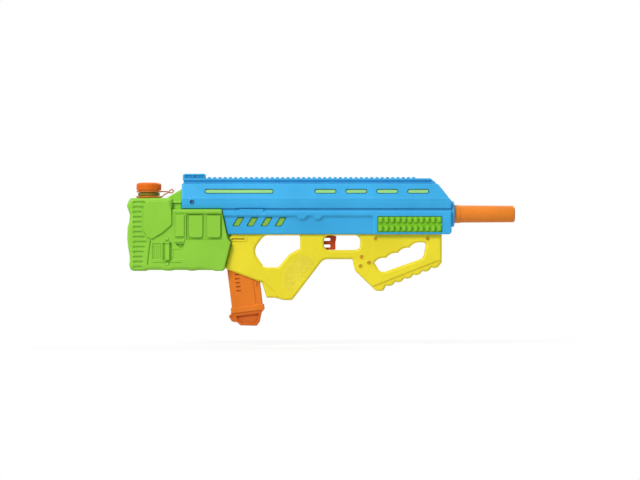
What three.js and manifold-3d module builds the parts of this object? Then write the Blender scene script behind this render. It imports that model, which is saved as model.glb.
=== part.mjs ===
// Water squirter: a long shoulder-held toy with a refillable tank behind the grip.
// Squeezing the trigger pushes a plunger into a pump cylinder, which draws water from the
// tank through one ball valve and sends it through another to the nozzle in the barrel.
// Millimetres, +X towards the nozzle, +Y to the holder's left, +Z up.
// The origin is in the middle of the grip, where the hand closes round it.
import * as THREE from "three";
import { mergeVertices } from "three/addons/utils/BufferGeometryUtils.js";
import Module from "manifold-3d";

const wasm = await Module();
wasm.setup();

// Walls and fits
const wall = 2.2; // moulded casing wall
const fit = 0.3; // gap between pieces that are put together and stay
const run = 0.4; // gap round pieces that slide
const seam = 0.1; // each half casing stops this short of the parting plane

// Receiver: heights are stacked upwards from its lower edge
const receiverBottomZ = 39.8;
const panelHeight = 28.2; // recessed lower panel
const bandHeight = 9.9; // raised band above the panel
const grooveHeight = 1.8; // groove between the band and the upper casing
const cheekHeight = 16.4; // upright side of the upper casing
const slopeHeight = 22.5; // sloping side of the upper casing
const panelHalf = 22.3; // half widths, from the parting plane
const bandHalf = 24.5;
const bodyHalf = 23.5;
const shoulderHalf = 15;
const receiverRearX = -189;
const receiverFrontX = 228;
const lowerRearTopX = -126.4; // slanted rear edge of the lower casing
const lowerRearRun = 8.1;
const frontBlockX = 105.6; // where the full-width front block begins
const slantRun = 21; // slanted nose of the upper casing
const slantDrop = 27;
const panelTopZ = receiverBottomZ + panelHeight;
const bandTopZ = panelTopZ + bandHeight;
const lipZ = bandTopZ + grooveHeight;
const beltZ = lipZ + cheekHeight;
const shoulderZ = beltZ + slopeHeight;
const lowerRearBottomX = lowerRearTopX + lowerRearRun;
const panelInner = panelHalf - wall;

// Slots in the receiver and the green strips behind them
const slotSink = 1; // strip faces lie this far below the casing's face
const stripThickness = 1.8;
const stripMargin = 3; // strip reaches this far past its slots
const upperSlotHeight = 8;
const longSlotLength = 106.6;
const longSlotX = -100.2;
const shortSlotLength = 34;
const shortSlotPitch = 47.8;
const shortSlotFirstX = 33.3;
const shortSlotCount = 4;
const leanSlotCount = 4;
const leanSlotFirstX = -111.3;
const leanSlotPitch = 22;
const leanSlotWidth = 10.4;
const leanSlotHeight = 14.4;
const leanSlotRise = 12.2; // above the receiver's lower edge
const leanSlotLean = 7.4;

// Top rail and rear sight
const railHalf = 10.5;
const railNeckHalf = 7.5;
const railNeckHeight = 4.6;
const railBaseHeight = 3.4;
const railToothHeight = 2;
const railToothPitch = 8.11;
const railToothLength = 4.7;
const railPlain = 32; // front of the rail without teeth
const railSlope = 10; // its front slopes on from the nose
const railNose = 8;
const railFrontGap = 1.5; // behind the slanted nose
const railRearGap = 1.5;
const sightLength = 35.5;
const sightHeight = 7;
const sightHalf = 9.5;
const sightNotch = 5;
const railBaseZ = shoulderZ + railNeckHeight;
const railTopZ = railBaseZ + railBaseHeight;

// Side pads on the front block
const padLength = 99.5;
const padHeight = 24;
const padPocket = 2.5; // depth of the pocket in the casing
const padRibCount = 11;
const padRibHeight = 1.5; // above the casing's face
const padRibShare = 0.6; // of the rib pitch that is rib
const padRowGap = 3.5;
const padFrontGap = 14.6; // from the pad to the front of the receiver
const padFaceY = bandHalf - padPocket;
const padRearX = receiverFrontX - padFrontGap - padLength;

// Barrel, collar and nozzle
const barrelDrop = 6.6; // barrel axis below the top of the band
const barrelRadius = 13.4;
const barrelBore = 11;
const barrelLength = 94; // in front of the collar
const barrelRootRadius = 14.1;
const barrelRootLength = 9;
const barrelTipRound = 3.5;
const barrelDraft = 0.5; // less radius at the tip
const barrelTail = 20; // inside the receiver
const barrelFlange = 16.5;
const barrelFlangeThickness = 3;
const collarRadius = 20;
const collarThickness = 4.5;
const nozzleThickness = 6;
const nozzleSink = 2.5; // nozzle face behind the barrel's tip
const nozzleOrifice = 1;
const barrelZ = bandTopZ - barrelDrop;
const collarFrontX = receiverFrontX + fit + collarThickness;
const barrelTipX = collarFrontX + barrelLength;

// Grip frame
const frameHalf = 17;
const frameRound = 3.5;
const frameWall = 2.6;
const tongueHeight = 12; // upper edge that stands inside the receiver
const stripBelow = 1.8; // frame that shows between the receiver and the hand openings
const frameFrontX = 213.1;
const frameRearX = -113.5;
const ridgeX = -116.6; // small ridge that locates the tank
const ridgeDrop = 6.6; // below the receiver's lower edge
const notchX = -111.6;
const notchDrop = 11.9;
const wellRearX = -122.1; // magazine well
const wellRearDrop = 53;
const wellFrontX = -65.1;
const wellFrontDrop = 74.8;
const heelRearX = -57.7; // heel of the grip
const heelFrontX = -44.2;
const heelZ = -58.4;
const toeRearX = -31.8; // toe of the grip
const toeFrontX = -18.2;
const toeZ = -62;
const guardRearX = 30; // underside of the trigger guard
const guardFrontX = 74.9;
const guardThickness = 14.3; // trigger guard bar
const bracketX = 79; // bracket between the guard and the foregrip
const bracketDrop = 17.9;
const footRearX = 111.6; // foot of the foregrip
const footFrontX = 121.5;
const footZ = -49;
const toothFromX = 124.5; // row of bumps under the foregrip
const toothFromZ = -40.5;
const toothToX = 206;
const toothToZ = -8.2;
const frameNoseZ = -6;
const thumbTopX = -62; // thumb opening, from its top round the rear
const thumbRearX = -79.3;
const thumbRearZ = 14.5;
const thumbFootX = -61.5;
const thumbFootZ = -11.3;
const thumbToeX = -40;
const thumbWebX = -22.5;
const thumbWebZ = 9.3;
const thumbFrontX = -6.1;
const thumbFrontZ = 18;
const foregripRearX = 119; // foregrip opening
const foregripRearZ = -20.3;
const foregripLowX = 185;
const foregripLowZ = 3;
const foregripFrontX = 189.5;
const foregripFrontDrop = 11.7;
const fingerFromX = 181; // row of finger dips above it
const fingerFromDrop = 10.8;
const fingerToX = 109;
const fingerToDrop = 42.2;
const fingerCount = 4; // finger dips in the foregrip opening
const fingerDip = 3;
const toothCount = 6; // bumps under the foregrip
const toothDip = 3.2;
const gripBow = 0.8; // both rows are slightly bowed
const tongueTopZ = receiverBottomZ + tongueHeight;
const openingTopZ = receiverBottomZ - stripBelow;

// Trigger and its opening
const openingRearX = 31;
const openingFrontX = 87;
const openingHeight = 22.5;
const openingRound = 6;
const triggerFrontX = 48.5;
const triggerThickness = 7.7;
const triggerHalf = 6.5;
const triggerStroke = 9;
const prongHalf = 5;
const prongHeight = 3; // upper and lower prong
const middleProngHeight = 5.6;
const lugHalf = 9;
const lugLength = 3;
const armHalf = 4;
const armLength = 9;
const armTop = 4.5; // above the pump axis
const openingBottomZ = openingTopZ - openingHeight;

// Pump
const pumpRise = 30.2; // pump axis above the receiver's lower edge
const pumpRearX = -18; // outer face of the cylinder's closed end
const pumpLength = 44;
const pumpWall = 2;
const pumpBore = 8;
const pumpEnd = 3;
const portRadius = 2.2;
const glandLength = 5;
const rodRadius = 3;
const rodSpigot = 2;
const headLength = 7.5;
const sealWidth = 2.4;
const sealDepth = 1.4;
const springWire = 1;
const springTurns = 6;
const pumpZ = receiverBottomZ + pumpRise;
const pumpOuter = pumpBore + pumpWall;
const pumpFrontX = pumpRearX + pumpLength;
const saddleThickness = 2;

// Valves
const blockLength = 18;
const blockHalf = 8;
const blockBelow = 16; // below the pump axis
const blockAbove = 18;
const ballRadius = 3;
const ballGap = 0.6; // between a ball and its chamber
const seatRadius = 2;
const lowerSeatDrop = 6; // below the pump axis
const chamberRoof = 3; // above the pump axis
const upperSeatRise = 6; // above the pump axis
const spigotLength = 4;
const hoseBore = 2.9;
const hoseRadius = 4.4;
const barbBore = 1.5;
const barbLength = 12;
const barbRadius = hoseBore - fit;
const blockX = pumpRearX - fit - blockLength / 2;

// Tank, filler neck and outlet
const tankGap = 1.2; // between the tank and the casings in front of it
const tankRearX = -272;
const tankHalf = 27;
const tankWall = 2;
const tankRound = 5;
const tankInnerRound = tankRound - tankWall;
const tankTopZ = 96.1;
const tankBottomZ = -16.3;
const shelfDrop = 2.2; // front of the tank's top below the receiver's lip
const cheekFrontX = -203;
const cheekRelief = 1.8; // raised panel on each side
const rampGap = 4.7; // from the tether's ring on the neck to the ramp
const rampRun = 27;
const lugTop = 13.9; // fixing lug above the receiver's belt
const lugReach = 28; // inside the receiver
const tankLugHalf = 13;
const neckSetback = 31.6; // neck's axis in front of the tank's rear
const neckRadius = 14.2;
const neckBore = 11.5;
const neckHeight = 21;
const neckCollarRadius = 17; // collar below the thread, which keeps the tether's ring on the neck
const neckCollarHeight = 4.6;
const outletDrop = 10; // below the pump axis
const outletBoss = 6;
const outletReach = 12;
const outletTail = 20;
const outletFlange = 2;
const outletSeal = 1.5;
const neckX = tankRearX + neckSetback;
const shelfZ = lipZ - shelfDrop;
const outletZ = pumpZ - outletDrop;

// Filler cap and its tether
const capRadius = 19.3;
const capSkirt = 12.3;
const capLower = 3.4; // narrow part below the skirt, where the tether's ring turns
const capTop = 0.9;
const capLowerRadius = 16.2;
const gasketThickness = 1.6;
const ringThickness = 2.6;
const ringWidth = 3;
const neckRingHeight = 2.8;
const strapRadius = 0.9;
const neckRingOver = 0.4; // tether's ring on the neck, past the cap
const neckRingRadius = capRadius + neckRingOver;
const rampFootX = neckX + neckRingRadius + rampGap;

// Magazine
const magazineX = -93.5; // middle of the well's mouth
const magazineTilt = THREE.MathUtils.degToRad(7);
const magazineHalfLength = 24;
const magazineHalf = 12;
const magazineWall = 2;
const magazineDepth = 48;
const magazineNeck = 14; // half length of the narrow top inside the well
const magazineNeckRise = 28;
const magazineEntry = 1.2;
const collarBand = 9.5;
const collarOver = 2;
const footDepth = 23;

// Screws
const screwRadius = 1.4;
const screwHead = 2.7;
const screwHeadHeight = 2;
const screwSink = 2.8; // seat below the casing's face
const bossRadius = 4.2;
const receiverScrewLength = 27;
const frameScrewLength = 19;
const tankScrewLength = 15;

// A geometry as a solid whose faces point outwards.
function solid(geometry) {
  const bare = geometry.clone();
  bare.deleteAttribute("normal");
  bare.deleteAttribute("uv");
  const merged = mergeVertices(bare, 1e-4);
  const position = merged.attributes.position;
  const corners = [];
  let volume = 0;
  const [a, b, c] = [new THREE.Vector3(), new THREE.Vector3(), new THREE.Vector3()];
  for (let i = 0; i < merged.index.count; i += 3) {
    const [p, q, r] = [0, 1, 2].map((k) => merged.index.getX(i + k));
    if (p === q || q === r || r === p) continue;
    corners.push(p, q, r);
    a.fromBufferAttribute(position, p);
    b.fromBufferAttribute(position, q);
    c.fromBufferAttribute(position, r);
    volume += a.dot(b.cross(c));
  }
  if (volume < 0) corners.reverse();
  return new wasm.Manifold(
    new wasm.Mesh({
      numProp: 3,
      vertProperties: position.array,
      triVerts: new Uint32Array(corners),
    }),
  );
}

const join = (...solids) => solids.reduce((all, one) => all.add(one));
const cut = (from, ...tools) => from.subtract(join(...tools));

// Corners [x, z, radius] as a closed list of points, each corner rounded by an arc.
function outline(corners, arcStep = Math.PI / 6) {
  const points = [];
  corners.forEach(([x, z, radius = 0], i) => {
    const here = new THREE.Vector2(x, z);
    const [bx, bz] = corners[(i + corners.length - 1) % corners.length];
    const [ax, az] = corners[(i + 1) % corners.length];
    const back = new THREE.Vector2(bx, bz).sub(here);
    const ahead = new THREE.Vector2(ax, az).sub(here);
    const room = 0.49 * Math.min(back.length(), ahead.length());
    back.normalize();
    ahead.normalize();
    const half = Math.acos(THREE.MathUtils.clamp(back.dot(ahead), -1, 1)) / 2;
    if (radius === 0) {
      points.push(here);
      return;
    }
    const reach = Math.min(radius / Math.tan(half), room);
    const arc = reach * Math.tan(half);
    const middle = back.clone().add(ahead).normalize();
    const centre = here.clone().addScaledVector(middle, arc / Math.sin(half));
    const start = here.clone().addScaledVector(back, reach).sub(centre).angle();
    const end = here.clone().addScaledVector(ahead, reach).sub(centre).angle();
    const sweep = THREE.MathUtils.euclideanModulo(end - start + Math.PI, 2 * Math.PI) - Math.PI;
    const steps = Math.max(1, Math.ceil(Math.abs(sweep) / arcStep - 0.01));
    for (let k = 0; k <= steps; k += 1) {
      const angle = start + (sweep * k) / steps;
      points.push(new THREE.Vector2(Math.cos(angle), Math.sin(angle)).multiplyScalar(arc).add(centre));
    }
  });
  return points;
}

// The same corners moved inwards by depth, or outwards where depth is negative. A sharp
// corner stays sharp, and a rounded one stays a little rounded.
function inset(corners, depth) {
  const area = THREE.ShapeUtils.area(corners.map(([x, y]) => ({ x, y })));
  const side = Math.sign(area) * depth;
  const edges = corners.map(([x, z], i) => {
    const [nextX, nextZ] = corners[(i + 1) % corners.length];
    const along = new THREE.Vector2(nextX - x, nextZ - z).normalize();
    return { x: x - along.y * side, z: z + along.x * side, along };
  });
  return corners.map(([, , radius = 0], i) => {
    const before = edges[(i + edges.length - 1) % edges.length];
    const after = edges[i];
    const turn = before.along.cross(after.along);
    const offset = new THREE.Vector2(after.x - before.x, after.z - before.z);
    const reach = Math.abs(turn) < 1e-6 ? 0 : offset.cross(after.along) / turn;
    const convex = turn * area > 0;
    const moved = radius === 0 ? 0 : Math.max(0.5, convex ? radius - depth : radius + depth);
    return [before.x + before.along.x * reach, before.z + before.along.y * reach, moved];
  });
}

// Points from one place to another in equal arcs that bulge to the left of the way, the
// whole row bowed a little to the left as well.
function arcs(from, to, count, bulge, bow, steps = 4) {
  const start = new THREE.Vector2(...from);
  const along = new THREE.Vector2(...to).sub(start);
  const left = new THREE.Vector2(-along.y, along.x).normalize();
  const points = [];
  for (let k = 1; k < count * steps; k += 1) {
    const share = (k % steps) / steps;
    const way = k / (count * steps);
    const rise = 4 * bulge * share * (1 - share) + 4 * bow * way * (1 - way);
    const point = start.clone().addScaledVector(along, way).addScaledVector(left, rise);
    points.push([point.x, point.y, 0]);
  }
  return points;
}

// A side outline made solid between two widths.
function plate(points, y0, y1, { holes = [], turn = null } = {}) {
  const shape = new THREE.Shape(points);
  shape.holes = holes.map((hole) => new THREE.Path(hole));
  const geometry = new THREE.ExtrudeGeometry(shape, { depth: y1 - y0, bevelEnabled: false });
  geometry.rotateX(Math.PI / 2).translate(0, y1, 0);
  if (turn) geometry.applyMatrix4(turn);
  return solid(geometry);
}

// The same with its edges rounded over. The first list of corners is the outline and the
// rest are openings in it.
function softPlate(contours, y0, y1, round, steps = 1) {
  const wound = contours.map((corners, i) => {
    const area = THREE.ShapeUtils.area(corners.map(([x, y]) => ({ x, y })));
    return area > 0 === (i === 0) ? corners : [...corners].reverse();
  });
  const edge = Array.from({ length: steps + 1 }, (_, k) => {
    const angle = ((k / steps) * Math.PI) / 2;
    return { depth: round * (1 - Math.sin(angle)), rise: round * (1 - Math.cos(angle)) };
  });
  const levels = [
    ...edge.map(({ depth, rise }) => ({ depth, y: y0 + rise })),
    ...edge.map(({ depth, rise }) => ({ depth, y: y1 - rise })).reverse(),
  ];
  const places = [];
  const faces = [];
  const rings = levels.map(({ depth, y }) =>
    wound.map((corners, i) => {
      const points = outline(inset(corners, i === 0 ? depth : -depth));
      const first = places.length / 3;
      points.forEach((point) => places.push(point.x, y, point.y));
      return { first, points };
    }),
  );
  for (let level = 1; level < rings.length; level += 1) {
    rings[level].forEach(({ first, points }, i) => {
      const below = rings[level - 1][i].first;
      points.forEach((_, k) => {
        const next = (k + 1) % points.length;
        faces.push(below + k, first + next, below + next, below + k, first + k, first + next);
      });
    });
  }
  [rings[0], rings[rings.length - 1]].forEach((ring, end) => {
    const index = ring.flatMap(({ first, points }) => points.map((_, k) => first + k));
    const flat = ring.flatMap(({ points }) => points);
    const [rim, ...holes] = ring.map(({ points }) => points);
    const caps = THREE.ShapeUtils.triangulateShape(rim, holes);
    const facing = THREE.ShapeUtils.area(caps[0].map((k) => flat[k])) > 0 === (end === 0);
    caps.forEach((corners) => faces.push(...(facing ? corners : [...corners].reverse()).map((k) => index[k])));
  });
  const geometry = new THREE.BufferGeometry();
  geometry.setAttribute("position", new THREE.Float32BufferAttribute(places, 3));
  geometry.setIndex(faces);
  return solid(geometry);
}

// A cross-section of [y, z] points made solid between two stations.
function prism(points, x0, x1) {
  const shape = new THREE.Shape(points.map(([y, z]) => new THREE.Vector2(y, z)));
  const geometry = new THREE.ExtrudeGeometry(shape, { depth: x1 - x0, bevelEnabled: false });
  const lengthwise = new THREE.Matrix4().makeBasis(
    new THREE.Vector3(0, 1, 0),
    new THREE.Vector3(0, 0, 1),
    new THREE.Vector3(1, 0, 0),
  );
  return solid(geometry.applyMatrix4(lengthwise).translate(x0, 0, 0));
}

function box(x0, x1, y0, y1, z0, z1) {
  const geometry = new THREE.BoxGeometry(x1 - x0, y1 - y0, z1 - z0);
  return solid(geometry.translate((x0 + x1) / 2, (y0 + y1) / 2, (z0 + z1) / 2));
}

// A profile of [radius, height] points turned about a line through a place, along x, y or z.
function turned(profile, axis, x, y, z, sides = 20) {
  const points = profile.map(([radius, height]) => new THREE.Vector2(radius, height));
  const geometry = new THREE.LatheGeometry(points, sides);
  if (axis === "x") geometry.rotateZ(-Math.PI / 2);
  if (axis === "z") geometry.rotateX(Math.PI / 2);
  return solid(geometry.translate(x, y, z));
}

// A cylinder between two places on a line, or a ring if it has a bore.
function rod(radius, axis, from, to, [x, y, z], { bore = 0, sides = 20 } = {}) {
  const profile =
    bore > 0
      ? [[bore, from], [radius, from], [radius, to], [bore, to], [bore, from]]
      : [[0, from], [radius, from], [radius, to], [0, to]];
  return turned(profile, axis, x, y, z, sides);
}

// A hose of a given bore along a smooth path.
function hose(points, outer, inner, steps, sides = 8) {
  const ring = (radius) =>
    Array.from({ length: sides }, (_, k) => {
      const angle = (2 * Math.PI * k) / sides;
      return new THREE.Vector2(radius * Math.cos(angle), radius * Math.sin(angle));
    });
  const shape = new THREE.Shape(ring(outer));
  if (inner > 0) shape.holes = [new THREE.Path(ring(inner / Math.cos(Math.PI / sides)))];
  const path = new THREE.CatmullRomCurve3(points.map((p) => new THREE.Vector3(...p)));
  return solid(new THREE.ExtrudeGeometry(shape, { steps, extrudePath: path, bevelEnabled: false }));
}

const far = 1000; // longer than the toy, for cuts that pass right through
const rightHalf = box(-far, far, -far, -seam, -far, far);
const leftHalf = box(-far, far, seam, far, -far, far);
const mirrorSides = [
  ["right", -1],
  ["left", 1],
];
const between = (side, near, away) => (side < 0 ? [-away, -near] : [near, away]);

const finish = (color, roughness) => new THREE.MeshStandardMaterial({ color, roughness, metalness: 0 });
const blue = finish(0x41a4e2, 0.42);
const green = finish(0x88c83c, 0.45);
const yellow = finish(0xe9da2e, 0.45);
const orange = finish(0xe5802a, 0.42);
const capOrange = finish(0xd96a12, 0.45);
const triggerRed = finish(0xb8390a, 0.4);
const natural = finish(0xe4e6e2, 0.5);
const clear = finish(0xd7dfdc, 0.35);
const rubber = finish(0x2b2b2b, 0.8);
const steel = new THREE.MeshStandardMaterial({ color: 0xb9bcc0, roughness: 0.35, metalness: 0.9 });

const squirter = new THREE.Group();
squirter.name = "water_squirter";

function add(name, made, material, group = squirter) {
  const { vertProperties, triVerts, numProp, numVert } = made.getMesh();
  const places = new Float32Array(numVert * 3);
  for (let i = 0; i < numVert; i += 1) places.set(vertProperties.subarray(i * numProp, i * numProp + 3), i * 3);
  const geometry = new THREE.BufferGeometry();
  geometry.setAttribute("position", new THREE.BufferAttribute(places, 3));
  geometry.setIndex(new THREE.BufferAttribute(triVerts, 1));
  geometry.computeVertexNormals();
  const mesh = new THREE.Mesh(geometry, material);
  mesh.name = name;
  group.add(mesh);
}

// Screws: a row is [name, x, z, side the head is on, face the seat is sunk from, length]
const lowerBossZ = receiverBottomZ + tongueHeight / 2;
const upperBossZ = beltZ - 4.1;
const receiverScrews = [
  ["receiver_screw_1", frameRearX + 18.5, lowerBossZ, 1, panelHalf],
  ["receiver_screw_2", openingFrontX - 23, lowerBossZ, 1, panelHalf],
  ["receiver_screw_3", padRearX + 14.1, lowerBossZ, 1, padFaceY],
  ["receiver_screw_4", frameFrontX - 13, lowerBossZ, 1, padFaceY],
  ["receiver_screw_5", receiverRearX + 69, upperBossZ, 1, bodyHalf],
  ["receiver_screw_6", frontBlockX - 5.6, upperBossZ, 1, bodyHalf],
  ["receiver_screw_7", frontBlockX + 64.4, upperBossZ, 1, bodyHalf],
];
const frameScrews = [
  ["frame_screw_1", bracketX + 10.1, openingBottomZ - 10.5, -1, frameHalf],
  ["frame_screw_2", bracketX + 21.6, openingBottomZ - 19.5, -1, frameHalf],
  ["frame_screw_3", bracketX + 8.4, openingBottomZ - 24.8, -1, frameHalf],
  ["frame_screw_4", fingerToX + 1.8, openingTopZ - 4.8, -1, frameHalf],
  ["frame_screw_5", frameFrontX - 22, openingTopZ - 4.8, -1, frameHalf],
  ["frame_screw_6", toeRearX - 4.2, toeZ + 15.6, 1, frameHalf],
  ["frame_screw_7", guardRearX - 22, openingBottomZ - 17.5, 1, frameHalf],
];
const tankScrewX = receiverRearX + 15.9;
const tankScrewZ = beltZ - 6.2;
const tankScrews = mirrorSides.map(([word, side]) => [
  `tank_screw_${word}`,
  tankScrewX,
  tankScrewZ,
  side,
  bodyHalf,
]);

const onSide = (side, distance) => side * distance;

function screw([, x, z, side, face], length) {
  const seat = face - screwSink + fit;
  const profile = [
    [0, -length],
    [screwRadius, 2 - length],
    [screwRadius, 0],
    [screwHead, 0],
    [screwHead * 0.85, screwHeadHeight],
    [0, screwHeadHeight],
  ].map(([radius, height]) => [radius, onSide(side, seat + height)]);
  return turned(profile, "y", x, 0, z, 8);
}

// The hole a screw needs: a sunk seat for its head and a way for its shank.
function screwHole([, x, z, side, face], length) {
  const seat = face - screwSink;
  const head = rod(screwHead + fit, "y", onSide(side, seat), onSide(side, face + far), [x, 0, z], { sides: 8 });
  const shank = rod(screwRadius + fit, "y", onSide(side, seat - length - 1), onSide(side, face), [x, 0, z], {
    sides: 8,
  });
  return join(head, shank);
}

const boss = ([, x, z], half) => rod(bossRadius, "y", -half, half, [x, 0, z], { sides: 8 });

// Receiver: two half casings, moulded with pump saddles, bosses and slots
const upperSection = [
  [-bodyHalf, lipZ],
  [bodyHalf, lipZ],
  [bodyHalf, beltZ],
  [shoulderHalf, shoulderZ],
  [-shoulderHalf, shoulderZ],
  [-bodyHalf, beltZ],
];
const upperSide = [
  [receiverRearX, lipZ],
  [receiverFrontX, lipZ],
  [receiverFrontX, shoulderZ - slantDrop, 4],
  [receiverFrontX - slantRun, shoulderZ, 6],
  [receiverRearX, shoulderZ],
];
const lowerSide = [
  [lowerRearTopX, bandTopZ + wall],
  [lowerRearBottomX, receiverBottomZ],
  [receiverFrontX, receiverBottomZ, 5],
  [receiverFrontX, bandTopZ + wall],
];
const bandTabs = [-12.4, 11.8];
const bandTabDrop = 5.3;
const bandSide = [
  [lowerRearTopX, bandTopZ],
  [lowerRearTopX + lowerRearRun * (bandHeight / (panelHeight + bandHeight)), panelTopZ],
  ...bandTabs.flatMap((x) => [
    [x, panelTopZ],
    [x + 4.6, panelTopZ - bandTabDrop],
    [x + 14, panelTopZ - bandTabDrop],
    [x + 18.6, panelTopZ],
  ]),
  [frontBlockX + 1, panelTopZ],
  [frontBlockX + 1, bandTopZ],
];
const frontBlockSide = [
  [frontBlockX, receiverBottomZ],
  [receiverFrontX, receiverBottomZ, 5],
  [receiverFrontX, bandTopZ],
  [frontBlockX, bandTopZ],
];
const stepTab = [
  [lowerRearTopX + 20.4, bandTopZ],
  [lowerRearTopX + 64.4, bandTopZ],
  [lowerRearTopX + 64.4, bandTopZ + 1.4],
  [lowerRearTopX + 28.4, bandTopZ + 1.4],
];

// The sloping side of the upper casing as a turn from a flat plate whose face lies at y = 0
const slopeAngle = Math.atan2(bodyHalf - shoulderHalf, slopeHeight);
const slopeMiddleZ = (beltZ + shoulderZ) / 2;
const slopeMiddleY = (bodyHalf + shoulderHalf) / 2;
function slopeTurn(side) {
  const turn = new THREE.Matrix4().makeRotationX(side * slopeAngle);
  return turn.setPosition(0, side * slopeMiddleY, slopeMiddleZ);
}
const slotRow = [
  [longSlotX, longSlotLength],
  ...Array.from({ length: shortSlotCount }, (_, k) => [shortSlotFirstX + k * shortSlotPitch, shortSlotLength]),
];
const slotOutline = ([x, length], grow) => {
  const [reach, half] = [length / 2 + grow, upperSlotHeight / 2 + grow];
  return outline([
    [x - reach, -half],
    [x + reach, -half],
    [x + reach, half],
    [x - reach, half],
  ]);
};
const leanSlot = (k, grow) => {
  const x = leanSlotFirstX + k * leanSlotPitch;
  const z = receiverBottomZ + leanSlotRise;
  return outline(
    inset(
      [
        [x, z],
        [x + leanSlotWidth, z],
        [x + leanSlotWidth + leanSlotLean, z + leanSlotHeight],
        [x + leanSlotLean, z + leanSlotHeight],
      ],
      -grow,
    ),
  );
};

const padBottomZ = receiverBottomZ + 3.6;
const tankLugTopZ = beltZ + lugTop;
const tankLugBottomZ = lipZ + wall + fit;
const nozzleFaceX = barrelTipX - nozzleSink;

function receiver() {
  const upper = prism(upperSection, receiverRearX, receiverFrontX).intersect(
    plate(outline(upperSide), -bodyHalf, bodyHalf),
  );
  const outer = join(
    upper,
    plate(outline(lowerSide), -panelHalf, panelHalf),
    plate(outline(bandSide), -bandHalf, bandHalf),
    plate(outline(frontBlockSide), -bandHalf, bandHalf),
    plate(outline(stepTab), -bandHalf, bandHalf),
  );
  const upperInner = prism(inset(upperSection, wall), receiverRearX - 1, receiverFrontX).intersect(
    plate(outline(inset(upperSide, wall)), -bodyHalf, bodyHalf),
  );
  const lowerInner = plate(
    outline([
      [lowerRearTopX - 5, lipZ + wall + 1],
      [lowerRearBottomX - 5, receiverBottomZ - 1],
      [receiverFrontX - wall, receiverBottomZ - 1],
      [receiverFrontX - wall, lipZ + wall + 1],
    ]),
    -panelInner,
    panelInner,
  );
  const lugWay = box(
    receiverRearX - 1,
    receiverRearX + wall + 1,
    -tankLugHalf - fit,
    tankLugHalf + fit,
    tankLugBottomZ - fit,
    tankLugTopZ + fit,
  );
  const shell = cut(outer, upperInner, lowerInner, lugWay);

  // Inside: bosses for the screws, saddles for the pump, a ring for the barrel
  const bosses = [
    ...receiverScrews.map((row) => boss(row, row[4] - wall / 2)),
    ...tankScrews.map((row) => {
      const [y0, y1] = between(row[3], tankLugHalf + fit, bodyHalf - wall / 2);
      return rod(bossRadius, "y", y0, y1, [row[1], 0, row[2]], { sides: 8 });
    }),
  ];
  const saddles = [pumpRearX + 10, pumpFrontX - 12].map((x) =>
    box(x, x + saddleThickness, -panelInner - 1, panelInner + 1, pumpZ - pumpOuter - 2, pumpZ + pumpOuter + 2),
  );
  const blockRib = box(
    blockX - 1,
    blockX + 1,
    -panelInner - 1,
    panelInner + 1,
    pumpZ + 2,
    pumpZ + blockAbove - 4,
  );
  const barrelRing = box(
    receiverFrontX - wall - barrelTail + 2,
    receiverFrontX - wall - barrelTail + 4,
    -panelInner - 1,
    panelInner + 1,
    barrelZ - barrelFlange - 3,
    barrelZ + barrelFlange + 3,
  );
  const pumpSpace = rod(pumpOuter + fit, "x", pumpRearX, pumpFrontX, [0, 0, pumpZ]);
  const blockSpace = box(
    blockX - blockLength,
    blockX + blockLength,
    -blockHalf - fit,
    blockHalf + fit,
    receiverBottomZ,
    shoulderZ - wall - 1,
  );
  const inside = cut(join(...saddles, blockRib, barrelRing), pumpSpace, blockSpace);
  const barrelWay = rod(barrelRadius + fit, "x", receiverFrontX - 40, receiverFrontX + 1, [0, 0, barrelZ]);

  const upperSlots = mirrorSides.flatMap(([, side]) =>
    slotRow.map((slot) => plate(slotOutline(slot, 0), -wall - 2, wall + 2, { turn: slopeTurn(side) })),
  );
  const leanSlots = Array.from({ length: leanSlotCount }, (_, k) => plate(leanSlot(k, 0), -far, far));
  const pockets = mirrorSides.map(([, side]) => {
    const [y0, y1] = between(side, padFaceY, bandHalf + 1);
    return box(padRearX - fit, padRearX + padLength + fit, y0, y1, padBottomZ - fit, padBottomZ + padHeight + fit);
  });
  const whole = join(shell, ...bosses, inside);
  return cut(whole, barrelWay, ...upperSlots, ...leanSlots, ...pockets);
}

const receiverWhole = receiver();
const receiverHoles = [
  ...receiverScrews.map((row) => screwHole(row, receiverScrewLength)),
  ...tankScrews.map((row) => screwHole(row, tankScrewLength)),
];
add("receiver_right", cut(receiverWhole.intersect(rightHalf), ...receiverHoles), blue);
add("receiver_left", cut(receiverWhole.intersect(leftHalf), ...receiverHoles), blue);
receiverScrews.forEach((row) => add(row[0], screw(row, receiverScrewLength), steel));
tankScrews.forEach((row) => add(row[0], screw(row, tankScrewLength), steel));

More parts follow.
